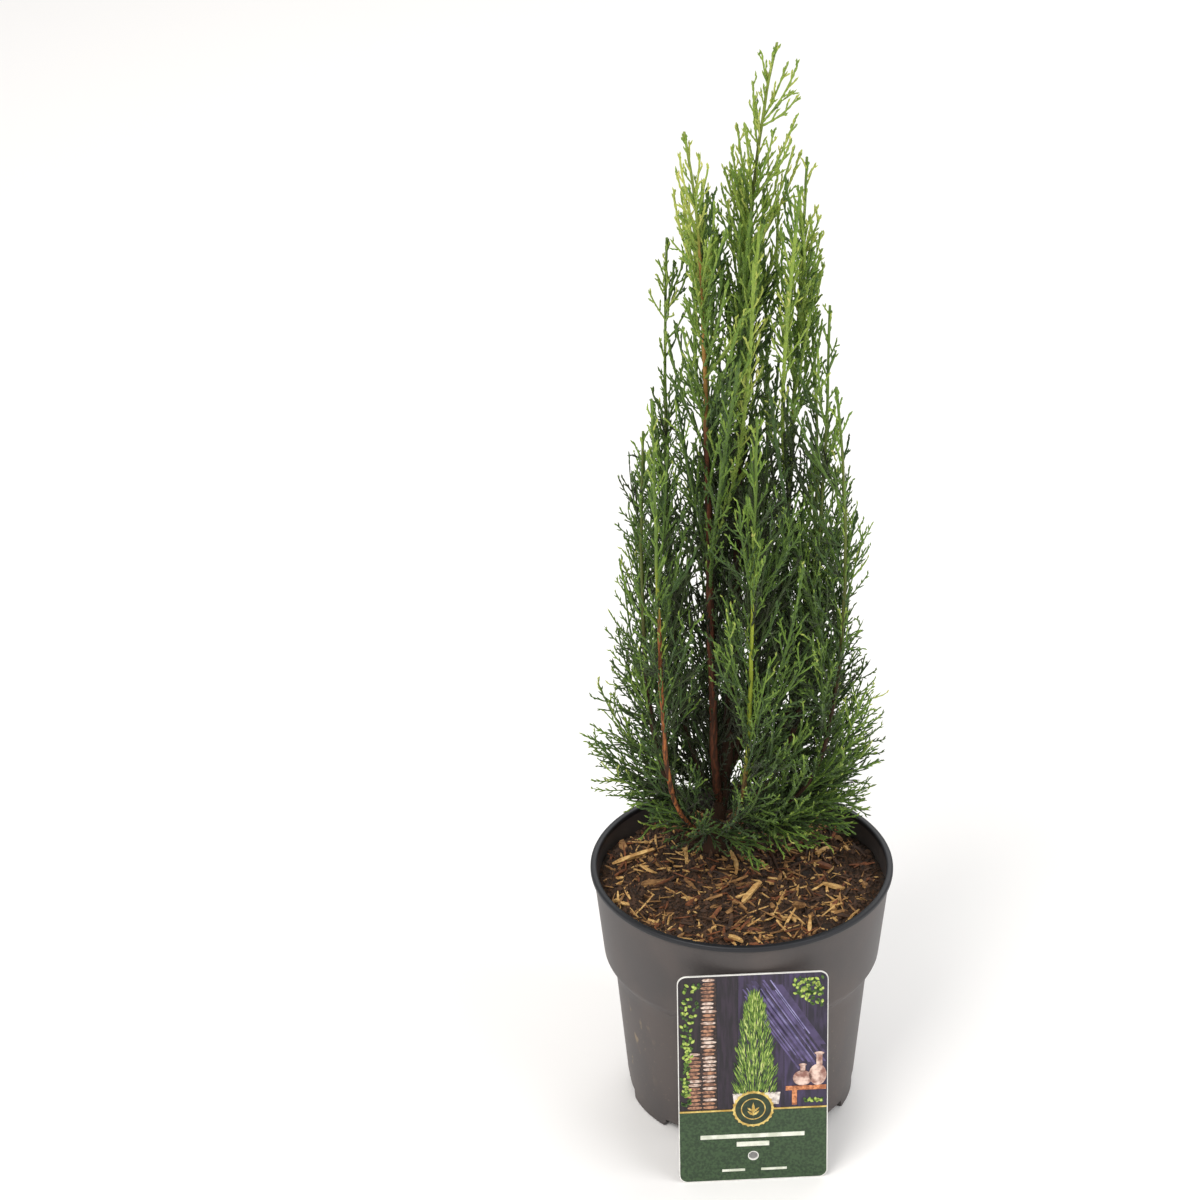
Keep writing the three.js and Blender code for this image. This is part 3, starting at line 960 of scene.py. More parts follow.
@dataclass
class Crown:
    """The stems, branches, sprays and twigs."""

    rng: np.random.Generator = field(default_factory=lambda: np.random.default_rng(SEED))
    bold_from: tuple[float, float] = (320 * MM, 470 * MM)  # tips below are all fine, above all bold
    top: float = 450 * MM  # the leads' sprays are long above this
    middle_y: float = 16 * MM
    front: tuple[float, float] = (27 * MM, 80 * MM)  # how far the crown's foot and its body reach to -Y
    fullness: tuple[tuple[float, float], ...] = (  # height in millimetres, share of the branches kept
        (150, 0.50),
        (200, 0.52),
        (245, 0.42),
        (300, 0.43),
        (350, 0.46),
        (380, 0.52),
        (415, 0.48),
        (440, 0.37),
        (470, 0.39),
        (485, 0.52),
        (502, 0.63),
        (520, 0.80),
        (550, 0.92),
        (580, 0.4),
        (612, 0.0),
    )
    envelope: tuple[Triple, ...] = (  # height, middle and half width, in millimetres
        (150, 2, 79),
        (250, 0, 80),
        (330, 0, 72),
        (410, 1, 63),
        (500, 1, 46),
        (560, 4, 38),
        (640, 16, 18),
    )
    freshness: tuple[tuple[float, float], ...] = (  # height in millimetres, vigour
        (150, 0.34),
        (250, 0.35),
        (350, 0.37),
        (440, 0.41),
        (520, 0.55),
        (580, 0.62),
        (640, 0.60),
    )
    fringe: tuple[tuple[float, float], ...] = (  # height in millimetres, how far out tips may stand
        (160, 1.18),
        (200, 1.3),
        (330, 1.3),
        (380, 1.02),
    )
    veiling: float = 0.05  # the share of the branches that may hang in front of a stem that shows
    look_down: float = 0.55  # the slope of the view that the stems show in
    filled: tuple[Triple, Triple] = ((-85, -60, 165), (170, 150, 400))  # a box's low corner and size, in mm

    def __post_init__(self) -> None:
        """Reads the limbs and masses from the frame."""
        self.masses = {n: Mass(n) for n in sorted(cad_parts) if n.startswith("foliage_")}
        self.limbs = {"trunk": self._trunk()}
        for name in sorted(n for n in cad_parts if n.startswith("bough_")):
            self.limbs[name.removeprefix("bough_")] = self._lead(name)

    def _trunk(self) -> Limb:
        """Reads the trunk's line and carries it up to the crown's top.

        Returns:
            The trunk as a limb.
        """
        low, high = (corner[2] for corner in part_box("trunk"))
        middles, radii = centre_slices("trunk", np.linspace(low + 0.5 * MM, high - 0.5 * MM, 26))
        tip = self.masses["foliage_leader"].tip
        return Limb("trunk", np.vstack([middles, tip]), np.append(radii, 0.7 * MM))

    def _lead(self, bough: str) -> Limb:
        """Reads a bough's line and carries it up through its foliage to the mass's tip.

        Args:
            bough: The bough's node.

        Returns:
            The lead as a limb.
        """
        low, high = (corner[2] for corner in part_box(bough))
        middles, radii = centre_slices(bough, np.linspace(low + 7 * MM, high - 0.5 * MM, 12))
        fork = self.limbs["trunk"].at(np.array([low]))[0]
        name = bough.removeprefix("bough_")
        tip = self.masses["foliage_" + name].tip * np.array([DRAWN_IN.get(name, 1.0), 1.0, 1.0])
        points = np.vstack([fork, middles])
        slope = (points[-1] - points[-3])[:2] / (points[-1] - points[-3])[2]
        climb = np.linspace(0, 1, 9)[1:]
        rise = tip[2] - high
        start = points[-1][:2]
        straight = start + slope * (climb * rise)[:, None]
        bend = tip[:2] - (start + slope * rise)
        late = LATE_BEND if name == "second_leader" else SOFT_BEND
        above = np.column_stack([straight + bend * (climb**late)[:, None], high + climb * rise])
        thin = TIP_RADIUS + (radii[-1] - TIP_RADIUS) * (1 - climb) ** 2
        return Limb(name, np.vstack([points, above]), np.concatenate([[radii[0]], radii, thin]))

    @staticmethod
    def _habit(mass: str) -> Habit:
        """Returns how a mass is filled.

        Args:
            mass: The mass's node.

        Returns:
            Its habit.
        """
        if "skirt" in mass:
            return SKIRT
        return HEART if "heart" in mass else PLUME

    @staticmethod
    def _at_height(table: tuple[tuple[float, ...], ...], height: float, column: int = 1) -> float:
        """Reads one column of a table of heights in millimetres at a height."""
        return np.interp(height / MM, [row[0] for row in table], [row[column] for row in table])

    def _vigour_and_light(self, place: np.ndarray) -> float:
        """Says how fresh foliage is at a place, with painted light and shade: fresher higher up, painted
        lighter further out and painted darker deep inside the crown, where shade falls.

        Args:
            place: The place.

        Returns:
            The vigour.
        """
        base = self._at_height(self.freshness, place[2])
        # painted shade deep inside the crown, held shallower near the thin top; painted light on twigs
        # further out
        inner_shade_limit = np.interp(place[2], [420 * MM, 540 * MM], [0.6, 0.12])
        beyond = min(max(self._outness(place) - 0.72, -inner_shade_limit), 0.35)
        return float(base + (0.22 if beyond > 0 else 0.34) * beyond)

    def _outness(self, place: np.ndarray) -> float:
        """Says how far out in the crown a place is: 0 in its middle, 1 at its edge.

        Args:
            place: The place.

        Returns:
            Its distance from the middle, as a share of the crown's reach there.
        """
        middle = self._at_height(self.envelope, place[2]) * MM
        girth = self._at_height(self.envelope, place[2], 2) * MM
        depth = 0.9 * girth
        if place[1] < self.middle_y:
            depth = min(depth, np.interp(place[2], [150 * MM, 250 * MM], self.front))
        return math.hypot((place[0] - middle) / girth, (place[1] - self.middle_y) / depth)

    def _fill(self) -> list[np.ndarray]:
        """Scatters places between the masses, inside the crown's envelope.

        Returns:
            The places.
        """
        low, size = (np.array(row) * MM for row in self.filled)
        tries = low + self.rng.random((int(FILL.density * size.prod()), 3)) * size
        inside = [t for t in tries if self._outness(t) < 0.97]
        return [t for t in inside if not any(mass.holds(Vector(t)) for mass in self.masses.values())]

    def _veils(self, place: np.ndarray) -> bool:
        """Says whether foliage at a place would hang in front of one of the stems that show.

        Args:
            place: Where the foliage would be.

        Returns:
            Whether it would.
        """
        for name, (low, high) in SHOWN_STEMS.items():
            limb = self.limbs[name]
            ahead = limb.at(place[2:3])[0][1] - place[1]
            behind = limb.at(np.array([place[2] - self.look_down * ahead]))[0]
            if ahead > 0 and low * MM < behind[2] < high * MM and abs(behind[0] - place[0]) < 7 * MM:
                return True
        return False

    def _branches(self) -> tuple[Twigs, Twigs]:
        """Grows a branch from a limb to each place scattered through the masses.

        Returns:
            The fine branches of the lower crown, and the bold ones of its top.
        """
        found: list[Branch] = []
        for name, mass in self.masses.items():
            habit = self._habit(name)
            own = self.limbs.get("trunk" if name == "foliage_leader" else name.removeprefix("foliage_"))
            for place in mass.scatter(habit.density, 7 * MM, habit.inner, self.rng):
                self._lead_to(place, own or self._nearest(place), habit, found)
        for place in self._fill():
            self._lead_to(place, self._nearest(place), FILL, found)
        return self._gather(found, False), self._gather(found, True)

    def _lead_to(self, place: np.ndarray, limb: Limb, habit: Habit, found: list[Branch]) -> None:
        """Adds a branch from a limb to a place, unless chance or a stem that shows leaves it out.

        Args:
            place: The branch's tip.
            limb: The limb that it leaves.
            habit: How steeply it climbs, and how its tint shifts, darker as painted shade for the heart and
                the fill.
            found: The branches, which it joins.
        """
        chance = self.rng.random()
        thinned = chance > self._at_height(self.fullness, place[2])
        if thinned or self._outness(place) > self._at_height(self.fringe, place[2]):
            return
        if chance > self.veiling and place[2] > 165 * MM and self._veils(place):
            return
        line = self._climb(limb, place, habit)
        if line is not None:
            bold = self.rng.uniform(*self.bold_from) < place[2]
            # painted light and shade enter here, from the place's depth in the crown and the habit's darker
            # shift
            fresh = self._vigour_and_light(place) + habit.vigour_and_light + np.clip(self.rng.normal(0, 0.08), -0.14, 0.10)
            found.append((line, fresh, bold))

    def _gather(self, found: list[Branch], bold: bool) -> Twigs:
        """Makes a batch of the fine branches, or of the bold ones.

        Args:
            found: The branches.
            bold: Whether the bold ones are taken, or else the fine ones.

        Returns:
            The batch.
        """
        line = np.array([f[0] for f in found if f[2] == bold])
        fresh = np.array([f[1] for f in found if f[2] == bold])
        across = self.rng.normal(size=(len(line), 3))
        normal = unit(np.cross(line[:, -1] - line[:, 0], across))
        length = np.linalg.norm(np.diff(line, axis=1), axis=2).sum(axis=1)
        radius = (0.6 * MM if bold else 0.5 * MM) + 0.004 * length
        return Twigs(line, normal, radius, fresh)

    def _nearest(self, place: np.ndarray) -> Limb:
        """Returns the limb whose line passes nearest to a place at its height."""
        reachable = [limb for limb in self.limbs.values() if limb.low < place[2] < limb.high]
        return min(reachable, key=lambda limb: np.hypot(*(limb.at(place[2:3])[0] - place)[:2]))

    def _climb(self, limb: Limb, place: np.ndarray, habit: Habit) -> np.ndarray | None:
        """Draws a branch that leaves a limb outwards and turns up to a place.

        Args:
            limb: The limb that it leaves.
            place: Its tip.
            habit: How steeply it climbs.

        Returns:
            Its line, or None where the place is on the limb itself.
        """
        lean = math.radians(max(self.rng.normal(habit.steep, habit.loose), 12))
        out = np.hypot(*(place - limb.at(place[2:3])[0])[:2])
        leaves = max(place[2] - out / math.tan(lean), limb.low + self.rng.uniform(3, 14) * MM)
        start = limb.at(np.array([min(leaves, limb.high - 2 * MM)]))[0]
        if np.linalg.norm(place - start) < 5 * MM:
            return None
        return self._arc(start, place)

    def _arc(self, start: np.ndarray, tip: np.ndarray) -> np.ndarray:
        """Draws an arc that sets off outwards and turns upwards; a flat one sags towards its tip.

        Args:
            start: Its foot.
            tip: Its tip.

        Returns:
            Its line, one row for each point.
        """
        step = tip - start
        out = np.hypot(*step[:2])
        flat = min(max(out / max(step[2], 1 * MM) - 1.0, 0.0) / 2, 1.0)
        knee = start + step * np.array([0.60, 0.60, 0.34]) + UP * 0.2 * out * flat
        knee = knee + self.rng.normal(0, 0.05, 3) * np.linalg.norm(step)
        t = np.linspace(0, 1, 10)[:, None]
        return (1 - t) ** 2 * start + 2 * t * (1 - t) * knee + t**2 * tip

    def _shoots(self) -> Twigs:
        """Draws the long side shoots of the top.

        Returns:
            The shoots.
        """
        found = []
        for lead, shoots in SHOOTS.items():
            for leaves, end in shoots:
                start = self.limbs[lead].at(np.array([leaves * MM]))[0]
                tip = np.array(end) * MM
                found.append((self._arc(start, tip), self._vigour_and_light(tip) + 0.03, True))
        return self._gather(found, True)

    def _stems(self, low: float, high: float, span: float = 1.0) -> Twigs:
        """Returns the parts of the leads' foliage-bearing stems between two heights, each of about a span.

        Args:
            low: The lower height.
            high: The upper height.
            span: About how long each part is.

        Returns:
            The parts.
        """
        found = []
        for name, limb in self.limbs.items():
            mass = self.masses["foliage_leader" if name == "trunk" else "foliage_" + name]
            bare_to = mass.low[2] - 40 * MM if name in BARE_STEMS else limb.low + 22 * MM
            foot, top = max(low, bare_to), min(high, limb.high - 4 * MM)
            if top < foot + 10 * MM:
                continue
            ends = np.linspace(foot, top, max(round((top - foot) / span), 1) + 1)
            for start, end in zip(ends, ends[1:]):
                line = limb.at(np.linspace(start, end, 24))
                found.append((line, self._vigour_and_light(line[-6]) + STEM_VIGOUR.get(name, 0.02), True))
        return self._gather(found, True)

    def _orders(self) -> list[tuple[Twigs, Skin]]:
        """Grows every order of the foliage, with the way that each is skinned.

        Returns:
            Each batch of twigs, with its skin.
        """
        fine, bold = self._branches()
        shoots = self._shoots()
        low_stems = self._stems(0.0, self.bold_from[0], 45 * MM)
        high_stems = [self._stems(self.bold_from[0], self.top, 70 * MM), self._stems(self.top, 1.0)]
        tops = self._stems(0.0, 1.0)
        tops.vigour_and_light = tops.vigour_and_light + 0.03
        fine_sprays = [fine.bear(FINE_SPRAY, self.rng), low_stems.bear(STEM_FINE, self.rng)]
        bold_sprays = [branches.bear(BOLD_SPRAY, self.rng) for branches in (bold, shoots)]
        bold_sprays += [stems.bear(STEM_BOLD, self.rng) for stems in high_stems]
        crests = [branches.bear(CREST, self.rng) for branches in (bold, shoots)]
        crests.append(tops.bear(STEM_CREST, self.rng))
        orders = [(fine, Skin.FINE_BRANCH), (bold, Skin.BOLD_BRANCH), (shoots, Skin.SHOOT)]
        orders += [(sprays, Skin.FINE_SPRAY) for sprays in fine_sprays]
        orders += [(sprays, Skin.BOLD_SPRAY) for sprays in bold_sprays]
        orders += [(crest, Skin.CREST) for crest in crests]
        orders += [(sprays.bear(FINE_TWIG, self.rng), Skin.FINE_TWIG) for sprays in fine_sprays]
        orders += [(sprays.bear(BOLD_TWIG, self.rng), Skin.BOLD_TWIG) for sprays in bold_sprays]
        return orders

    def grow(self) -> None:
        """Skins every order, deals the cords out to the tints by vigour, which holds painted light and shade,
        and makes the joined pieces.
        """
        tint_levels = np.array([tint.value[0] for tint in Tint])
        edges = (tint_levels[1:] + tint_levels[:-1]) / 2
        dealt: dict[Tint, list[Mesh]] = {tint: [] for tint in Tint}
        for twigs, skin in self._orders():
            points, triangles, owners = skin_twigs(twigs, *skin.value)
            kinds = np.digitize(twigs.vigour_and_light, edges)[owners]
            for number, tint in enumerate(Tint):
                chosen = triangles[kinds == number]
                if len(chosen):
                    dealt[tint].append(without_spares(points, chosen))
        for tint, parts in dealt.items():
            if parts:
                self._pieces(tint, *join(parts))

    def _pieces(self, tint: Tint, points: np.ndarray, triangles: np.ndarray) -> None:
        """Makes one tint's pieces.

        Args:
            tint: The tint.
            points: The points of all its cords.
            triangles: Their triangles.
        """
        material = tint.make()
        count = math.ceil(len(triangles) / PIECE_FACES)
        for number, share in enumerate(np.array_split(triangles, count)):
            name = f"foliage_{tint.name.lower()}_{number + 1}"
            dress(mesh_object(name, *without_spares(points, share)), material, self.masses)


@dataclass
class Stems:
    """The trunk and the leads' stems, with bark relief, from the soil to their tips."""

    limbs: dict[str, Limb]
    sides: int = 14
    pitch: float = 1.6 * MM
    sway: float = 0.3 * MM  # how far a stem strays from its line
    sway_length: float = 17 * MM

    def _finish(self, name: str) -> StemBark:
        """Returns a stem's finish: the front leads turn green lower down than the trunk.

        Args:
            name: The stem's limb.

        Returns:
            Its finish.
        """
        fresh, young = linear(148, 160, 52), linear(88, 98, 42)
        # brown is the bark's own colour, darkened further as painted shade: the trunk and the hidden leads
        # stand in the crown's shade
        brown, rust, tan = linear(60, 42, 28), linear(108, 62, 40), linear(164, 98, 52)
        turns = {  # the old bark, the young skin, and the heights of the turn in millimetres
            "trunk": (brown, young, 480, 560, 600),
            "second_leader": (rust, linear(166, 122, 62), 410, 460, 545),
            "left_front": (tan, fresh, 318, 350, 370),
            "centre_front": (linear(116, 92, 42), fresh, 215, 255, 375),
        }
        old, new, low, high, green = turns.get(name, (brown, young, 260, 360, 440))
        tip = linear(122, 138, 58) if name in ("trunk", "second_leader") else linear(92, 116, 46)
        return StemBark(f"bark_{name}", old, new, tip, low * MM, high * MM, green * MM)

    def _mesh(self, limb: Limb, number: int) -> bpy.types.Object:
        """Skins one stem, with the ridges and flakes of its bark.

        Args:
            limb: The stem's limb.
            number: Its number, which picks its noise.

        Returns:
            The stem, not yet dressed.
        """
        count = int((limb.high - limb.low) / self.pitch)
        heights = np.linspace(limb.low, limb.high - 0.4 * MM, count)
        centre = limb.at(heights)
        stray = np.column_stack(
            [lattice_noise(heights, heights * 0 + k, self.sway_length, SEED + number * 3 + k) for k in (0, 1)]
        )
        centre[:, :2] += stray * self.sway * np.minimum((heights - limb.low) / (20 * MM), 1)[:, None]
        angle = circle(self.sides)
        ridges = lattice_noise(angle[None] * 2.2, heights[:, None] / (9 * MM), 1.0, SEED + number)
        flakes = lattice_noise(angle[None] * 3.7, heights[:, None] / (2.6 * MM), 1.0, SEED + 50 + number)
        girth = limb.radius(heights)[:, None] * (1 + 0.07 * ridges + 0.06 * flakes)
        x, y = centre[:, :1] + girth * np.cos(angle), centre[:, 1:2] + girth * np.sin(angle)
        rings = np.stack([x, y, np.repeat(centre[:, 2:], self.sides, axis=1)], axis=-1).reshape(-1, 3)
        return mesh_object(f"stem_{limb.name}", rings, closed_tube(count, self.sides), smooth=True)

    def build(self) -> None:
        """Makes every stem."""
        for number, (name, limb) in enumerate(self.limbs.items()):
            node = "trunk" if name == "trunk" else f"bough_{name}"
            dress(self._mesh(limb, number), self._finish(name).make(), [node])


# ---- Pot and soil -------------------------------------------------------------------------------


@dataclass
class Pot:
    """The moulded nursery pot, turned from its section, with drain notches in its foot."""

    height: float = field(init=False)
    radius: float = field(init=False)
    lip_depth: float = 3.4 * MM
    band_drop: float = 1.7 * MM  # the band's top stands back from the lip by this
    band_foot: Spot = (79.6 * MM, 98 * MM)  # radius and height
    wall_top: Spot = (73.2 * MM, 86 * MM)
    foot_radius: float = 65.6 * MM
    wall: float = 1.5 * MM
    floor_top: float = 6.4 * MM
    pad_radius: float = 30 * MM
    foot_width: float = 7 * MM
    channel: float = 4.2 * MM
    notches: int = 8
    notch_turn: float = 0.18  # how far the first notch stands past +X, in notches
    notch_half_angle: float = 7.6  # degrees
    notch_height: float = 5.6 * MM
    sides: int = 256

    def __post_init__(self) -> None:
        """Takes its height and radius from the frame."""
        low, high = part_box("pot")
        self.height = high[2] - low[2]
        self.radius = (high[0] - low[0]) / 2
        self.lip_foot = self.height - self.lip_depth

    @staticmethod
    def _arc(centre: Spot, radius: float, start: float, end: float, steps: int) -> Outline:
        """Returns points on an arc of the section, its angles in degrees."""
        angles = np.radians(np.linspace(start, end, steps))
        return [(centre[0] + radius * math.cos(a), centre[1] + radius * math.sin(a)) for a in angles]

    @staticmethod
    def _span(low: Spot, high: Spot, end: float, steps: int, curved: bool = False) -> Outline:
        """Returns points on a straight or S-curved stretch of the section, a little above its lower end.

        Args:
            low: Its lower end, as (radius, height).
            high: Its upper end.
            end: The share of the way up at which the points end.
            steps: How many there are.
            curved: Whether the radius eases in and out of both ends.

        Returns:
            The points.
        """
        points = []
        for share in np.linspace(0.15, end, steps):
            outwards = share * share * (3 - 2 * share) if curved else share
            points.append((low[0] + (high[0] - low[0]) * outwards, low[1] + (high[1] - low[1]) * share))
        return points

    def section(self) -> Outline:
        """Returns the pot's closed section, as (radius, height), from the pad outwards and up.

        Returns:
            The points.
        """
        band_top = self.radius - self.band_drop
        bead = 1.2 * MM
        foot_in = self.foot_radius - self.foot_width
        outer = [(0.0, 0.0), (self.pad_radius, 0.0), (self.pad_radius + 2 * MM, self.channel)]
        outer += [(foot_in - 2 * MM, self.channel), (foot_in, 0.4 * MM), (foot_in + 0.4 * MM, 0.0)]
        outer += [(self.foot_radius - 0.8 * MM, 0.0), (self.foot_radius, 0.8 * MM)]
        outer += [(self.foot_radius + 0.03 * MM, 6.2 * MM)]
        outer += self._span((self.foot_radius, 0.0), self.wall_top, 0.94, 8)
        outer += [(self.wall_top[0] + 0.1 * MM, self.wall_top[1] + 1 * MM)]
        outer += self._span(self.wall_top, self.band_foot, 1, 9, curved=True)
        outer += self._span(self.band_foot, (band_top, self.lip_foot), 1, 6)
        outer.append((band_top + 0.1 * MM, self.lip_foot + 0.1 * MM))
        outer += self._arc((self.radius - bead, self.lip_foot + bead), bead, -90, 0, 5)
        outer += self._arc((self.radius - bead, self.height - bead), bead, 0, 90, 6)
        outer += self._arc((self.radius - 2.6 * MM, self.height - bead), bead, 90, 175, 5)
        inner = [(band_top - self.wall, self.lip_foot - 1 * MM)]
        inner += [(radius - self.wall, height) for radius, height in (self.band_foot, self.wall_top)]
        inner += [(self.foot_radius - self.wall, self.floor_top), (0.0, self.floor_top)]
        return outer + inner

    def inner_radius(self, height: float) -> float:
        """Returns the radius inside the band at a height.

        Args:
            height: The height, within the band.

        Returns:
            The radius.
        """
        share = (height - self.band_foot[1]) / (self.lip_foot - self.band_foot[1])
        top = self.radius - self.band_drop
        return self.band_foot[0] + (top - self.band_foot[0]) * share - self.wall

    def build(self) -> None:
        """Turns the section and lifts the foot at each notch."""
        section = self.section()
        angle = circle(self.sides)
        turns = (angle / (2 * math.pi) * self.notches - self.notch_turn + 0.5) % 1.0 - 0.5
        off = np.abs(turns) * 360 / self.notches
        lift = self.notch_height * (1 - np.clip((off - self.notch_half_angle) / 0.8, 0, 1))
        rings = []
        for radius, height in section[1:-1]:
            in_foot = radius > self.foot_radius - self.foot_width - 3 * MM and height < self.floor_top
            level = np.maximum(height, lift) if in_foot else np.full(self.sides, height)
            wave = 0.12 * MM * np.sin(3 * angle + 1) if height > self.wall_top[1] else 0.0
            reach = radius + wave
            rings.append(np.column_stack([reach * np.cos(angle), reach * np.sin(angle), level]))
        points = np.vstack([*rings, [[0, 0, section[0][1]], [0, 0, section[-1][1]]]])
        faces = [tuple(quad) for quad in tube_faces(len(rings), self.sides)]
        low = len(rings) * self.sides
        top = low - self.sides
        for side in range(self.sides):
            following = (side + 1) % self.sides
            faces += [(low, following, side), (low + 1, top + side, top + following)]
        pot = mesh_object("pot_shell", points, faces, smooth=True)
        pot.data.set_sharp_from_angle(angle=math.radians(38))
        dress(pot, PotPlastic().make(self), ["pot"])


@dataclass(frozen=True)
class Chip:
    """One of the large chips that lie where they can be told apart, in millimetres."""

    wood: int  # which of the four kinds
    x: float
    y: float
    length: float
    width: float


@dataclass
class SoilBed:
    """The growing medium's rough top, with bark chips, splinters and crumbs lying on it."""

    pot: Pot
    rng: np.random.Generator = field(default_factory=lambda: np.random.default_rng(SEED + 9))
    drop: float = 12.6 * MM  # below the pot's rim
    rings: int = 120
    sides: int = 300
    chips: int = 1550
    crumbs: int = 5200
    foot: tuple[float, float] = (-15 * MM, 30 * MM)  # where the bed swells round the trunk
    large: tuple[Chip, ...] = (
        Chip(0, -62, 18, 28, 4),
        Chip(1, -51, -2, 16, 4),
        Chip(2, 46, 14, 18, 5),
        Chip(0, 56, -6, 20, 3),
        Chip(0, 5, -18, 18, 3),
        Chip(1, -8, -34, 16, 3),
        Chip(0, -8, -62, 17, 3),
        Chip(1, 30, -30, 16, 3),
        Chip(0, 50, -34, 18, 3),
        Chip(2, -28, -22, 15, 4),
        Chip(0, 36, -52, 17, 2),
        Chip(1, -66, 34, 14, 4),
    )
    woods: tuple[tuple[ChipWood, float], ...] = (  # each kind, and its share of the small chips
        (ChipWood("wood_golden", linear(232, 192, 124), linear(166, 118, 62)), 0.20),
        (ChipWood("wood_tan", linear(172, 128, 78), linear(112, 78, 44)), 0.24),
        (ChipWood("wood_red", linear(140, 84, 48), linear(84, 48, 28)), 0.18),
        (ChipWood("wood_dark", linear(84, 56, 34), linear(42, 28, 18)), 0.38),
    )

    def __post_init__(self) -> None:
        """Places the bed in the pot."""
        self.level = self.pot.height - self.drop
        self.reach = self.pot.inner_radius(self.level) + 0.4 * MM

    def height(self, x: np.ndarray, y: np.ndarray) -> np.ndarray:
        """Returns the bed's height at some places.

        Args:
            x: The places' first coordinates.
            y: Their second coordinates.

        Returns:
            One height for each place.
        """
        lumps = 1.8 * lattice_noise(x, y, 13 * MM, 1) + 1.5 * lattice_noise(x, y, 5.5 * MM, 2)
        grit = 1.1 * lattice_noise(x, y, 2.4 * MM, 3) + 0.5 * lattice_noise(x, y, 1.1 * MM, 4)
        edge = np.clip((np.hypot(x, y) - 0.86 * self.reach) / (0.14 * self.reach), 0, 1)
        near = np.exp(-(((x - self.foot[0]) ** 2 + (y - self.foot[1]) ** 2) / (46 * MM) ** 2))
        return self.level + (lumps + grit - 1.6 * edge**2 + 2.2 * near) * MM

    def _bed(self) -> None:
        """Makes the bed itself, closed below."""
        radii = self.reach * np.linspace(0.004, 1, self.rings)
        angle = circle(self.sides)
        x, y = radii[:, None] * np.cos(angle), radii[:, None] * np.sin(angle)
        top = np.stack([x, y, self.height(x, y)], axis=-1).reshape(-1, 3)
        under = top[-self.sides:].copy()
        under[:, 2] = self.level - 12 * MM
        under[:, :2] *= 0.985
        faces = closed_tube(self.rings + 1, self.sides)
        bed = mesh_object("soil_bed", np.vstack([top, under]), faces, smooth=True)
        bed.data.flip_normals()
        dress(bed, DampPeat().make(), ["soil"])

    def _scatter(self, count: int, rim: float) -> np.ndarray:
        """Returns places spread evenly over the bed, short of its rim.

        Args:
            count: How many places there are.
            rim: How far they stay from the rim.

        Returns:
            Their coordinates, one row each.
        """
        radius = (self.reach - rim) * np.sqrt(self.rng.random(count))
        angle = self.rng.random(count) * 2 * math.pi
        return np.column_stack([radius * np.cos(angle), radius * np.sin(angle)])

    def _splinter(self, place: np.ndarray, length: float, width: float, thick: float) -> Mesh:
        """Makes one splinter: a tapering, slightly bent bar with ragged ends.

        Args:
            place: Where it lies.
            length: Its length.
            width: Its width at the middle.
            thick: Its thickness.

        Returns:
            Its points and faces.
        """
        stations = 5
        along = np.linspace(-0.5, 0.5, stations) * length
        girth = np.array([0.62, 0.94, 1.0, 0.92, 0.55]) * self.rng.uniform(0.8, 1.15, stations)
        bend = self.rng.normal(0, 0.05) * length * (1 - (2 * along / length) ** 2)
        corners = np.array([[-1, -1], [1, -1], [1, 1], [-1, 1]]) * 0.5
        points = []
        for at, scale, sway in zip(along, girth, bend):
            ragged = self.rng.normal(0, 0.09, (4, 3)) * min(width, 2 * MM)
            across, up = corners[:, 0] * width * scale + sway, corners[:, 1] * thick * scale
            points.append(np.column_stack([np.full(4, at), across, up]) + ragged)
        yaw, pitch, roll = self.rng.uniform(0, 2 * math.pi), self.rng.normal(0, 0.32), self.rng.normal(0, 0.5)
        turns = [Matrix.Rotation(angle, 3, axis) for angle, axis in ((yaw, "Z"), (pitch, "Y"), (roll, "X"))]
        points = np.vstack(points) @ np.array(turns[0] @ turns[1] @ turns[2]).T
        ground = self.height(place[:1], place[1:])[0]
        points += [place[0], place[1], ground + 0.35 * thick + 0.2 * length * abs(math.sin(pitch))]
        return points, np.array(closed_tube(stations, 4))

    def _litter(self) -> None:
        """Scatters the chips and splinters, in four kinds of wood."""
        parts: list[list[Mesh]] = [[] for _ in self.woods]
        for chip in self.large:
            place = np.array([chip.x, chip.y]) * MM
            parts[chip.wood].append(self._splinter(place, chip.length * MM, chip.width * MM, 2.2 * MM))
        for place in self._scatter(self.chips, 0.0):
            kind = self.rng.choice(len(self.woods), p=[share for _, share in self.woods])
            length = float(np.clip(self.rng.lognormal(math.log(7.0), 0.5), 2.6, 24)) * MM
            width = float(np.clip(self.rng.lognormal(math.log(0.95), 0.45), 0.5, 3.0)) * MM
            place = place * (1 - (length / 2 + 1.5 * MM) / self.reach)
            thick = min(width * 0.5, 1.5 * MM) + 0.25 * MM
            parts[kind].append(self._splinter(place, length, width, thick))
        for (finish, _), chips in zip(self.woods, parts):
            piece = mesh_object(finish.name.replace("wood", "chips"), *join(chips))
            dress(piece, finish.make(), ["soil"])

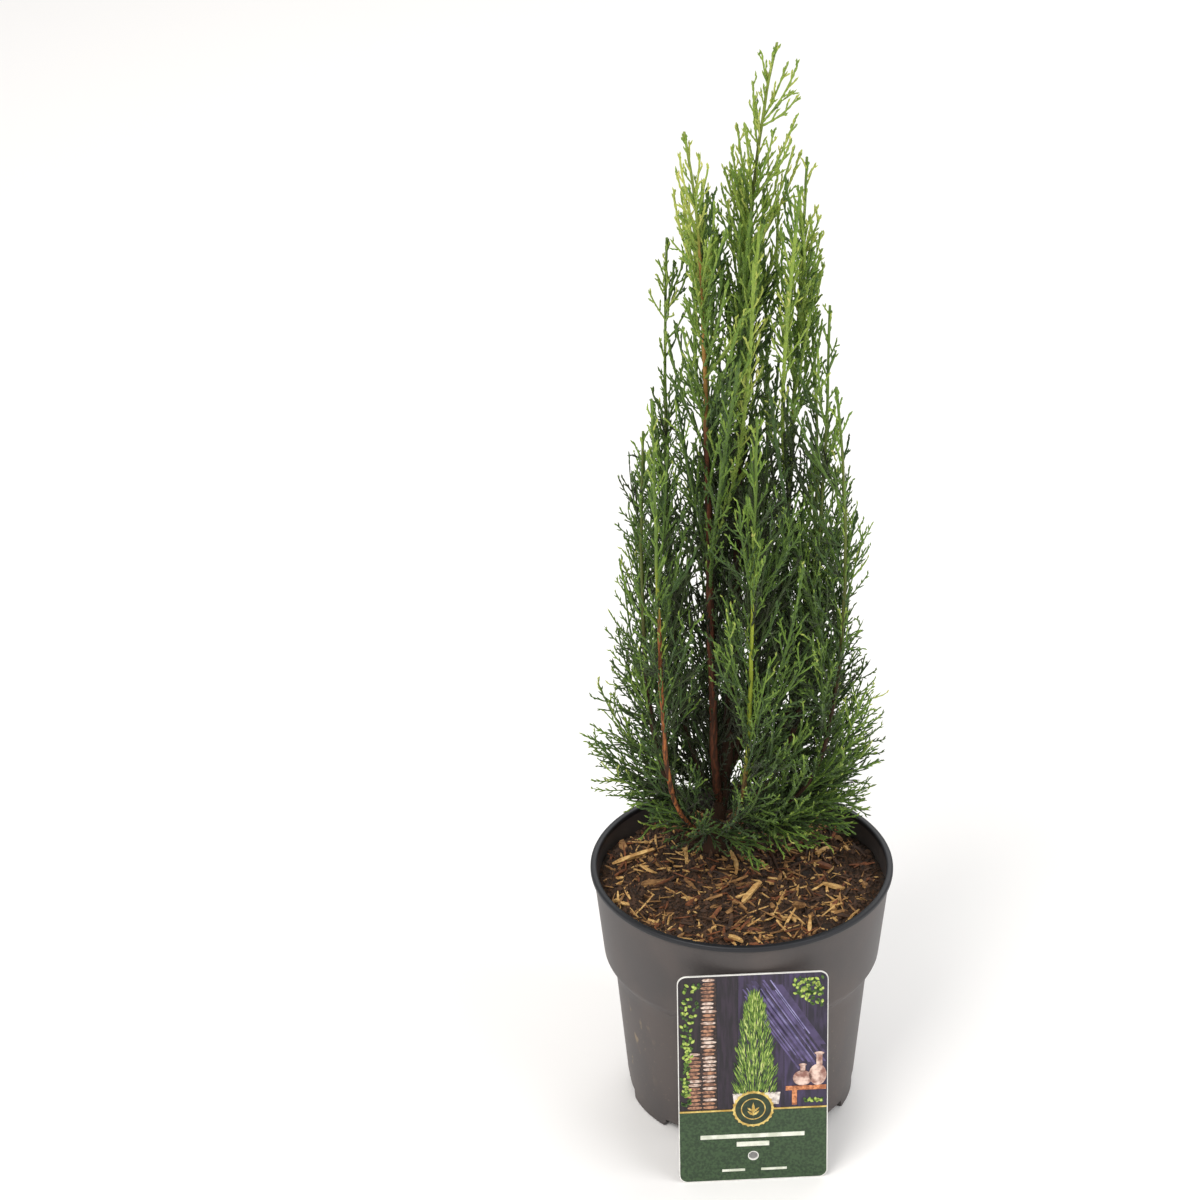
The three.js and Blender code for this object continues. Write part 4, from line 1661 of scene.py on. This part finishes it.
    def _crumbs(self) -> None:
        """Scatters small dark crumbs, each a jittered eight-faced lump."""
        places = self._scatter(self.crumbs, 2 * MM)
        size = np.clip(self.rng.lognormal(math.log(0.8), 0.45, self.crumbs), 0.35, 2.6) * MM
        axes = np.array([[1, 0, 0], [0, 1, 0], [-1, 0, 0], [0, -1, 0], [0, 0, 1], [0, 0, -1]], dtype=float)
        jitter = self.rng.uniform(0.6, 1.3, (self.crumbs, 6, 1))
        ground = self.height(places[:, 0], places[:, 1])
        middle = np.column_stack([places, ground + 0.2 * size])
        points = (middle[:, None] + axes * jitter * size[:, None, None]).reshape(-1, 3)
        faces = np.array([[i, (i + 1) % 4, 4] for i in range(4)] + [[(i + 1) % 4, i, 5] for i in range(4)])
        triangles = (faces[None] + 6 * np.arange(self.crumbs)[:, None, None]).reshape(-1, 3)
        piece = mesh_object("soil_crumbs", points, triangles)
        dress(piece, ChipWood("wood_crumb", linear(92, 64, 44), linear(40, 28, 20)).make(), ["soil"])

    def build(self) -> None:
        """Makes the bed and what lies on it."""
        self._bed()
        self._litter()
        self._crumbs()


# ---- The plant card -----------------------------------------------------------------------------


@dataclass
class PlantCard:
    """A laminated card with a plain picture of a columnar conifer, in its own plane on the frame's card."""

    edge: float = 0.5 * MM  # the white margin round the print
    corner: float = 5 * MM
    hole_level: float = 16.2 * MM
    hole_radius: float = 2.6 * MM
    seam: float = 47.5 * MM  # where the picture meets the green band
    slant: float = 0.62  # how far the picture's light moves to the right as it falls
    rng: np.random.Generator = field(default_factory=lambda: np.random.default_rng(SEED + 77))
    layer: int = 0  # how many are printed

    def __post_init__(self) -> None:
        """Finds the card's plane, its lower edge and its size from the frame."""
        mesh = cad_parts["label_card"].data
        facing = [p for p in mesh.polygons if p.normal.y < -0.9]
        self.out = sum((p.normal * p.area for p in facing), Vector()).normalized()
        self.right = Vector((0, 0, 1)).cross(self.out).normalized()
        self.rise = self.out.cross(self.right).normalized()
        spots = [v.co for v in mesh.vertices]
        across = [p.dot(self.right) for p in spots]
        upward = [p.dot(self.rise) for p in spots]
        depth = [p.dot(self.out) for p in spots]
        self.width = max(across) - min(across)
        self.height = max(upward) - min(upward)
        self.thick = max(depth) - min(depth)
        middle = (max(across) + min(across)) / 2
        self.origin = self.right * middle + self.rise * min(upward) + self.out * max(depth)

    def _place(self, points: Outline, lift: float) -> list[Vector]:
        """Puts card coordinates, in metres from the middle of its lower edge, into the row frame."""
        return [self.origin + self.right * x + self.rise * y + self.out * lift for x, y in points]

    def _print(self, name: str, outlines: list[Outline], dark: Shade, light: Shade, **ink: object) -> None:
        """Makes the next layer of flat shapes, each a thin closed plate on the card's face.

        Args:
            name: The layer's name.
            outlines: The shapes, each anticlockwise and convex, or nearly so.
            dark: The darker of its ink's two shades.
            light: The lighter one.
            ink: The ink's other settings.
        """
        self.layer += 1
        lift = 0.02 * MM * self.layer + 0.04 * MM
        points, faces = [], []
        for outline in outlines:
            start = len(points)
            points += self._place(outline, 0.0) + self._place(outline, lift)
            faces += [tuple(start + corner for corner in face) for face in closed_tube(2, len(outline))]
        material = CardInk(f"ink_{name}", linear(*dark), linear(*light), **ink).make()
        dress(mesh_object(f"card_{name}", np.array(points), faces), material, ["label_card"])

    @staticmethod
    def _oblong(x: float, y: float, width: float, height: float) -> Outline:
        """Returns a rectangle, given its lower left corner and its size in millimetres."""
        corners = [(x, y), (x + width, y), (x + width, y + height), (x, y + height)]
        return [(u * MM, v * MM) for u, v in corners]

    @staticmethod
    def _oval(x: float, y: float, half_width: float, half_height: float, steps: int = 20) -> Outline:
        """Returns an ellipse, given its middle and its half sizes in millimetres."""
        turns = circle(steps)
        return [((x + half_width * math.cos(a)) * MM, (y + half_height * math.sin(a)) * MM) for a in turns]

    @staticmethod
    def _leaf(x: float, y: float, length: float, width: float, lean: float) -> Outline:
        """Returns a pointed leaf in millimetres that starts at x, y and leans by degrees from upright.

        Args:
            x: Its foot's place across the card.
            y: Its foot's height.
            length: Its length.
            width: Its width.
            lean: How far it leans, to the left where positive.

        Returns:
            Its outline.
        """
        shape = [(0, 0), (0.5, 0.35), (0.42, 0.68), (0, 1), (-0.42, 0.68), (-0.5, 0.35)]
        c, s = math.cos(math.radians(lean)), math.sin(math.radians(lean))
        turned = [(x + c * u * width - s * v * length, y + s * u * width + c * v * length) for u, v in shape]
        return [(u * MM, v * MM) for u, v in turned]

    def _rounded(self, inset: float) -> Outline:
        """Returns the card's outline moved in by a distance.

        Args:
            inset: The distance.

        Returns:
            The outline, anticlockwise.
        """
        corner, half, outline = self.corner - inset, self.width / 2 - inset, []
        low, high = inset, self.height - inset
        centres = [(half - corner, low + corner), (half - corner, high - corner)]
        centres += [(corner - half, high - corner), (corner - half, low + corner)]
        for quarter, (x, y) in enumerate(centres):
            for i in range(9):
                a = math.radians(90 * (quarter - 1 + i / 8))
                outline.append((x + corner * math.cos(a), y + corner * math.sin(a)))
        return outline

    @staticmethod
    def _dense(outline: Outline, step: float) -> Outline:
        """Cuts an outline's edges into pieces that are at most a step long.

        Args:
            outline: The outline.
            step: The longest that a piece may be.

        Returns:
            The outline with the points between.
        """
        points = []
        for here, there in zip(outline, outline[1:] + outline[:1]):
            pieces = math.ceil(max(math.dist(here, there), 0.01 * MM) / step)
            points += [tuple(p + (q - p) * k / pieces for p, q in zip(here, there)) for k in range(pieces)]
        return points

    @staticmethod
    def _cut(outline: Outline, axis: int, limit: float, sign: int) -> Outline:
        """Cuts a convex outline at a line and keeps its low side, or with a sign of -1 its high side.

        Args:
            outline: The outline.
            axis: 0 for an upright line, 1 for a level one.
            limit: Where the line is.
            sign: 1 to keep the low side, -1 to keep the high one.

        Returns:
            The part that is kept.
        """
        kept = []
        for here, there in zip(outline, outline[1:] + outline[:1]):
            a, b = sign * (here[axis] - limit), sign * (there[axis] - limit)
            if a <= 0:
                kept.append(here)
            if a * b < 0:
                share = a / (a - b)
                kept.append(tuple(p + (q - p) * share for p, q in zip(here, there)))
        return kept

    def _ring(self, outline: Outline, radius: float) -> Outline:
        """Returns the point of a circle round the hole that faces each point of an outline."""
        turns = [math.atan2(y - self.hole_level, x) for x, y in outline]
        return [(radius * math.cos(a), self.hole_level + radius * math.sin(a)) for a in turns]

    def _plate(self) -> None:
        """Makes the white card itself, with rounded corners and a hanging hole."""
        outline = self._dense(self._rounded(0.0), 3 * MM)
        ring = self._ring(outline, self.hole_radius)
        front = self._place(outline, 0.0) + self._place(ring, 0.0)
        back = self._place(ring, -self.thick) + self._place(outline, -self.thick)
        faces = tube_faces(5, len(outline)) % (4 * len(outline))
        card = mesh_object("card_plate", np.array(front + back), faces)
        white = CardInk("card_white", linear(226, 224, 218), linear(240, 238, 232), 8 * MM)
        dress(card, white.make(), ["label_card"])

    def _band(self) -> None:
        """Makes the green band round the hole, as strips from the hole's rim to the band's outline."""
        outline = self._dense(self._cut(self._rounded(self.edge), 1, self.seam, 1), 3 * MM)
        pairs = list(zip(outline, self._ring(outline, self.hole_radius + 0.5 * MM)))
        strips = [[b[1], a[1], a[0], b[0]][::-1] for a, b in zip(pairs, pairs[1:] + pairs[:1])]
        self._print("band", strips, (38, 58, 34), (56, 80, 48), size=1.6 * MM)

    def _backdrop(self) -> None:
        """Makes the picture's dark planks, with soft slanting light across them."""
        picture = self._cut(self._rounded(self.edge), 1, self.seam, -1)
        shades = [
            ((-42.2, -20.4), (26, 20, 24), (44, 34, 40)),
            ((-20.0, -8.6), (26, 20, 28), (46, 34, 48)),
            ((-8.2, 17.2), (34, 26, 42), (58, 46, 74)),
            ((17.6, 29.6), (38, 30, 50), (64, 52, 84)),
            ((30.0, 42.2), (30, 24, 40), (52, 42, 68)),
        ]
        self._print("joints", [picture], (14, 10, 14), (22, 16, 22))
        for number, ((left, right), dark, light) in enumerate(shades):
            plank = self._cut(self._cut(picture, 0, left * MM, -1), 0, right * MM, 1)
            self._print(f"plank_{number + 1}", [plank], dark, light, size=2.4 * MM, stretch=(1.0, 1.0, 9.0))
        glow = [
            ("dim", 9, (1.6, 3.6), (52, 43, 70), (74, 62, 98)),
            ("mid", 9, (0.7, 1.8), (72, 62, 98), (98, 86, 130)),
            ("clear", 7, (0.3, 0.8), (98, 90, 134), (150, 144, 188)),
        ]
        for name, count, widths, dark, light in glow:
            beams = []
            for _ in range(count):
                x, top = self.rng.uniform(-6, 14), self.rng.uniform(118, 131)
                width, fall = self.rng.uniform(*widths), self.rng.uniform(24, 52)
                fall = min(fall, (41 - width - x) / self.slant)
                left, low = x + self.slant * fall, top - fall
                beam = [(x, top), (left, low), (left + width, low), (x + width, top)]
                beams.append([(u * MM, v * MM) for u, v in beam])
            self._print(f"light_{name}", beams, dark, light, size=6 * MM)

    def _stacks(self) -> None:
        """Makes the picture's two stacks of flat stones at the left."""
        shadow = [self._oblong(-37, 48, 16.6, 38), self._oblong(-29.4, 86, 9, 44)]
        self._print("stack_shade", shadow, (30, 20, 18), (58, 40, 34), size=1.5 * MM)
        pale, tan = [], []
        for x, low, rows in ((-25.0, 49.6, 34), (-33.4, 49.6, 15)):
            for row in range(rows):
                shift, half = self.rng.uniform(-0.7, 0.7), self.rng.uniform(3.4, 4.3)
                stone = self._oval(x + shift, low + 2.5 * row, half, 0.95, 12)
                (pale if self.rng.random() < 0.55 else tan).append(stone)
        self._print("stones_pale", pale, (160, 128, 112), (226, 204, 188), size=2 * MM)
        self._print("stones_tan", tan, (110, 76, 62), (186, 136, 104), size=2 * MM)

    def _conifer(self) -> None:
        """Makes the picture's planter and its columnar tree of fine upward strokes, in four greens."""
        planter = [(-11.6, 57.8), (-10.8, 50.0), (14.4, 50.0), (15.4, 57.8)]
        planter = [[(u * MM, v * MM) for u, v in planter]]
        self._print("planter", planter, (168, 156, 150), (232, 222, 212), size=3 * MM)
        greens = [
            ("deep", (38, 58, 24), (62, 88, 34), 480),
            ("mid", (70, 102, 36), (104, 136, 50), 600),
            ("leaf", (112, 144, 52), (146, 172, 74), 340),
            ("light", (164, 186, 90), (206, 214, 132), 80),
        ]
        for name, dark, light, count in greens:
            strokes = []
            for _ in range(count):
                rise = self.rng.random()
                half = 11.2 * math.sqrt(1 - rise) * (0.82 + 0.18 * min(rise * 6, 1)) + 0.6
                half *= 1 + 0.09 * math.sin(31 * rise) + 0.07 * math.sin(73 * rise + 1)
                x = self.rng.uniform(-1, 1) * half * (1.0 if name != "light" else 0.8)
                lean = -x / half * (30 - 22 * rise) + self.rng.normal(0, 6)
                length = self.rng.uniform(3, 6.5)
                strokes.append(self._leaf(1.0 + x, 56.5 + rise * 64, length, 0.45, lean))
            self._print(f"tree_{name}", strokes, dark, light, size=2 * MM)

    def _still_life(self) -> None:
        """Makes the picture's bench with two jars, and the leaves at its edges."""
        bench = [self._oblong(18.3, 58.6, 23, 2.7), self._oblong(21.9, 49, 2.8, 9.6)]
        self._print("bench", bench, (150, 86, 52), (222, 146, 96), size=2 * MM)
        low_jar = [self._oval(27.8, 66.4, 5.4, 4.9), self._oblong(26.6, 70.6, 2.8, 4.2)]
        low_jar.append(self._oval(28.0, 75.0, 2.2, 0.8))
        tall_jar = [self._oval(36.4, 68.2, 5.0, 6.8), self._oblong(35.6, 74.4, 3.4, 7.6)]
        tall_jar.append(self._oval(37.3, 82.2, 2.8, 0.9))
        self._print("jars", low_jar + tall_jar, (140, 96, 84), (236, 206, 190), size=5 * MM)
        greens = [("deep", (38, 64, 24), (80, 112, 38), 150), ("light", (118, 148, 50), (188, 204, 102), 110)]
        for name, dark, light, count in greens:
            leaves = []
            for i in range(count):
                rise = self.rng.random()
                x, y = -39.6 + self.rng.uniform(0, 3.5 + 7 * rise**2), 50.5 + 79 * rise
                if i % 5 == 1 or i % 5 == 3:
                    out, down = self.rng.random(), self.rng.random()
                    x, y = 39.6 - 17 * out, 130 - (22 - 14 * out) * down
                elif i % 9 == 0:
                    x, y = self.rng.uniform(29, 38.5), self.rng.uniform(50, 51)
                leaves.append(self._leaf(x, y, self.rng.uniform(1.8, 3.2), 1.6, self.rng.uniform(-70, 70)))
            self._print(f"leaves_{name}", leaves, dark, light, size=2 * MM)

    def _trim(self) -> None:
        """Makes the gold line, a plain gold roundel with a sprig, and blank bars in place of words."""
        gold, pale = (178, 142, 62), (228, 202, 120)
        dark, green = (30, 44, 26), (44, 60, 36)
        seam, half = self.seam / MM, self.width / 2 / MM - 0.6
        self._print("gold_line", [self._oblong(-half, seam - 0.9, 2 * half, 0.9)], gold, pale, size=6 * MM)
        teeth = self._oval(0, seam, 11.4, 11.4, 72)
        for i in range(0, len(teeth), 3):
            teeth[i] = (teeth[i][0] * 1.05, (teeth[i][1] / MM - seam) * 1.05 * MM + seam * MM)
        self._print("roundel_rim", [teeth], gold, pale, size=3 * MM)
        self._print("roundel", [self._oval(0, seam, 10.2, 10.2, 48)], dark, green)
        self._print("roundel_line", [self._oval(0, seam, 7.0, 7.0, 40)], gold, pale, size=3 * MM)
        self._print("roundel_core", [self._oval(0, seam, 6.4, 6.4, 40)], dark, green)
        sprig = [self._leaf(0, seam - 4.6, 9, 1.8, 0)]
        for side in (-48, 48):
            sprig += [self._leaf(0, seam - 4.2 + 2.2 * k, 4.6, 1.3, side) for k in range(2)]
        self._print("sprig", sprig, gold, pale, size=3 * MM)
        bars = [self._oblong(-30, 28.6, 59, 2.4), self._oblong(-9.5, 23.0, 18.5, 2.8)]
        bars += [self._oblong(-17.8, 6.6, 13, 1.3), self._oblong(4.4, 6.6, 14.6, 1.3)]
        self._print("bars", bars, (206, 210, 190), (236, 236, 222), size=6 * MM)

    def build(self) -> None:
        """Makes the card and its printed layers, from the lowest to the highest."""
        self._plate()
        self._band()
        self._backdrop()
        self._stacks()
        self._conifer()
        self._still_life()
        self._trim()


# ---- The studio ---------------------------------------------------------------------------------


@dataclass
class Studio:
    """A plain pale floor, soft light from above and in front, and the camera."""

    eye: Triple = (-78.2 * MM, -1678.1 * MM, 1250.7 * MM)
    pitch: float = 28.879  # degrees below the level
    roll: float = -1.065
    lens: float = 104.72
    aim: Triple = (0.0, 0.0, 0.3)  # where the lights point
    lights: tuple[tuple[str, Triple, float, float, Colour], ...] = (  # name, place, side, power and colour
        ("key", (-1.1, -1.5, 2.3), 1.3, 44, (1.0, 0.985, 0.96)),
        ("fill", (1.6, -1.0, 1.6), 1.6, 20, (0.96, 0.98, 1.0)),
        ("back", (0.4, 1.9, 2.2), 1.8, 24, (1.0, 1.0, 1.0)),
    )
    air: float = 0.62  # the strength of the light from all round
    floor_half: float = 6.0
    floor_level: float = -0.2 * MM

    def _light(self, name: str, place: Triple, side: float, power: float, colour: Colour) -> None:
        """Adds a square soft light that faces the plant.

        Args:
            name: Its name.
            place: Where it is.
            side: The length of its side.
            power: Its power in watts.
            colour: Its colour.
        """
        data = bpy.data.lights.new(name, "AREA")
        data.size = side
        data.energy = power
        data.color = colour
        made = bpy.data.objects.new(name, data)
        made.location = place
        made.rotation_euler = (Vector(self.aim) - Vector(place)).to_track_quat("-Z", "Y").to_euler()
        bpy.context.scene.collection.objects.link(made)

    def _camera(self) -> None:
        """Adds the camera."""
        data = bpy.data.cameras.new("camera")
        data.lens = self.lens
        data.sensor_width = 36.0
        data.clip_start, data.clip_end = 0.05, 60.0
        made = bpy.data.objects.new("camera", data)
        tilt = Matrix.Rotation(math.radians(90 - self.pitch), 4, "X")
        roll = Matrix.Rotation(math.radians(self.roll), 4, "Z")
        made.matrix_world = Matrix.Translation(self.eye) @ (tilt @ roll)
        bpy.context.scene.collection.objects.link(made)
        bpy.context.scene.camera = made

    def build(self) -> None:
        """Adds the floor, the lights and the camera."""
        half, level = self.floor_half, self.floor_level
        corners = [[-half, -half, level], [half, -half, level], [half, half, level], [-half, half, level]]
        floor = mesh_object("studio_floor", np.array(corners), [(0, 1, 2, 3)])
        floor.data.materials.append(StudioFloor().make())
        for light in self.lights:
            self._light(*light)
        world = bpy.data.worlds.new("studio_air")
        world.use_nodes = True
        background = world.node_tree.nodes["Background"]
        background.inputs["Color"].default_value = (1.0, 1.0, 1.0, 1.0)
        background.inputs["Strength"].default_value = self.air
        bpy.context.scene.world = world
        bpy.context.scene.view_settings.view_transform = "Standard"
        self._camera()


def main() -> None:
    """Builds the studio, the pot, the soil, the card, the stems and the crown."""
    logging.basicConfig(level=logging.INFO, format="%(name)s %(message)s", stream=sys.stdout)
    Studio().build()
    pot = Pot()
    pot.build()
    SoilBed(pot).build()
    PlantCard().build()
    crown = Crown()
    Stems(crown.limbs).build()
    crown.grow()


if __name__ == "__main__":
    main()
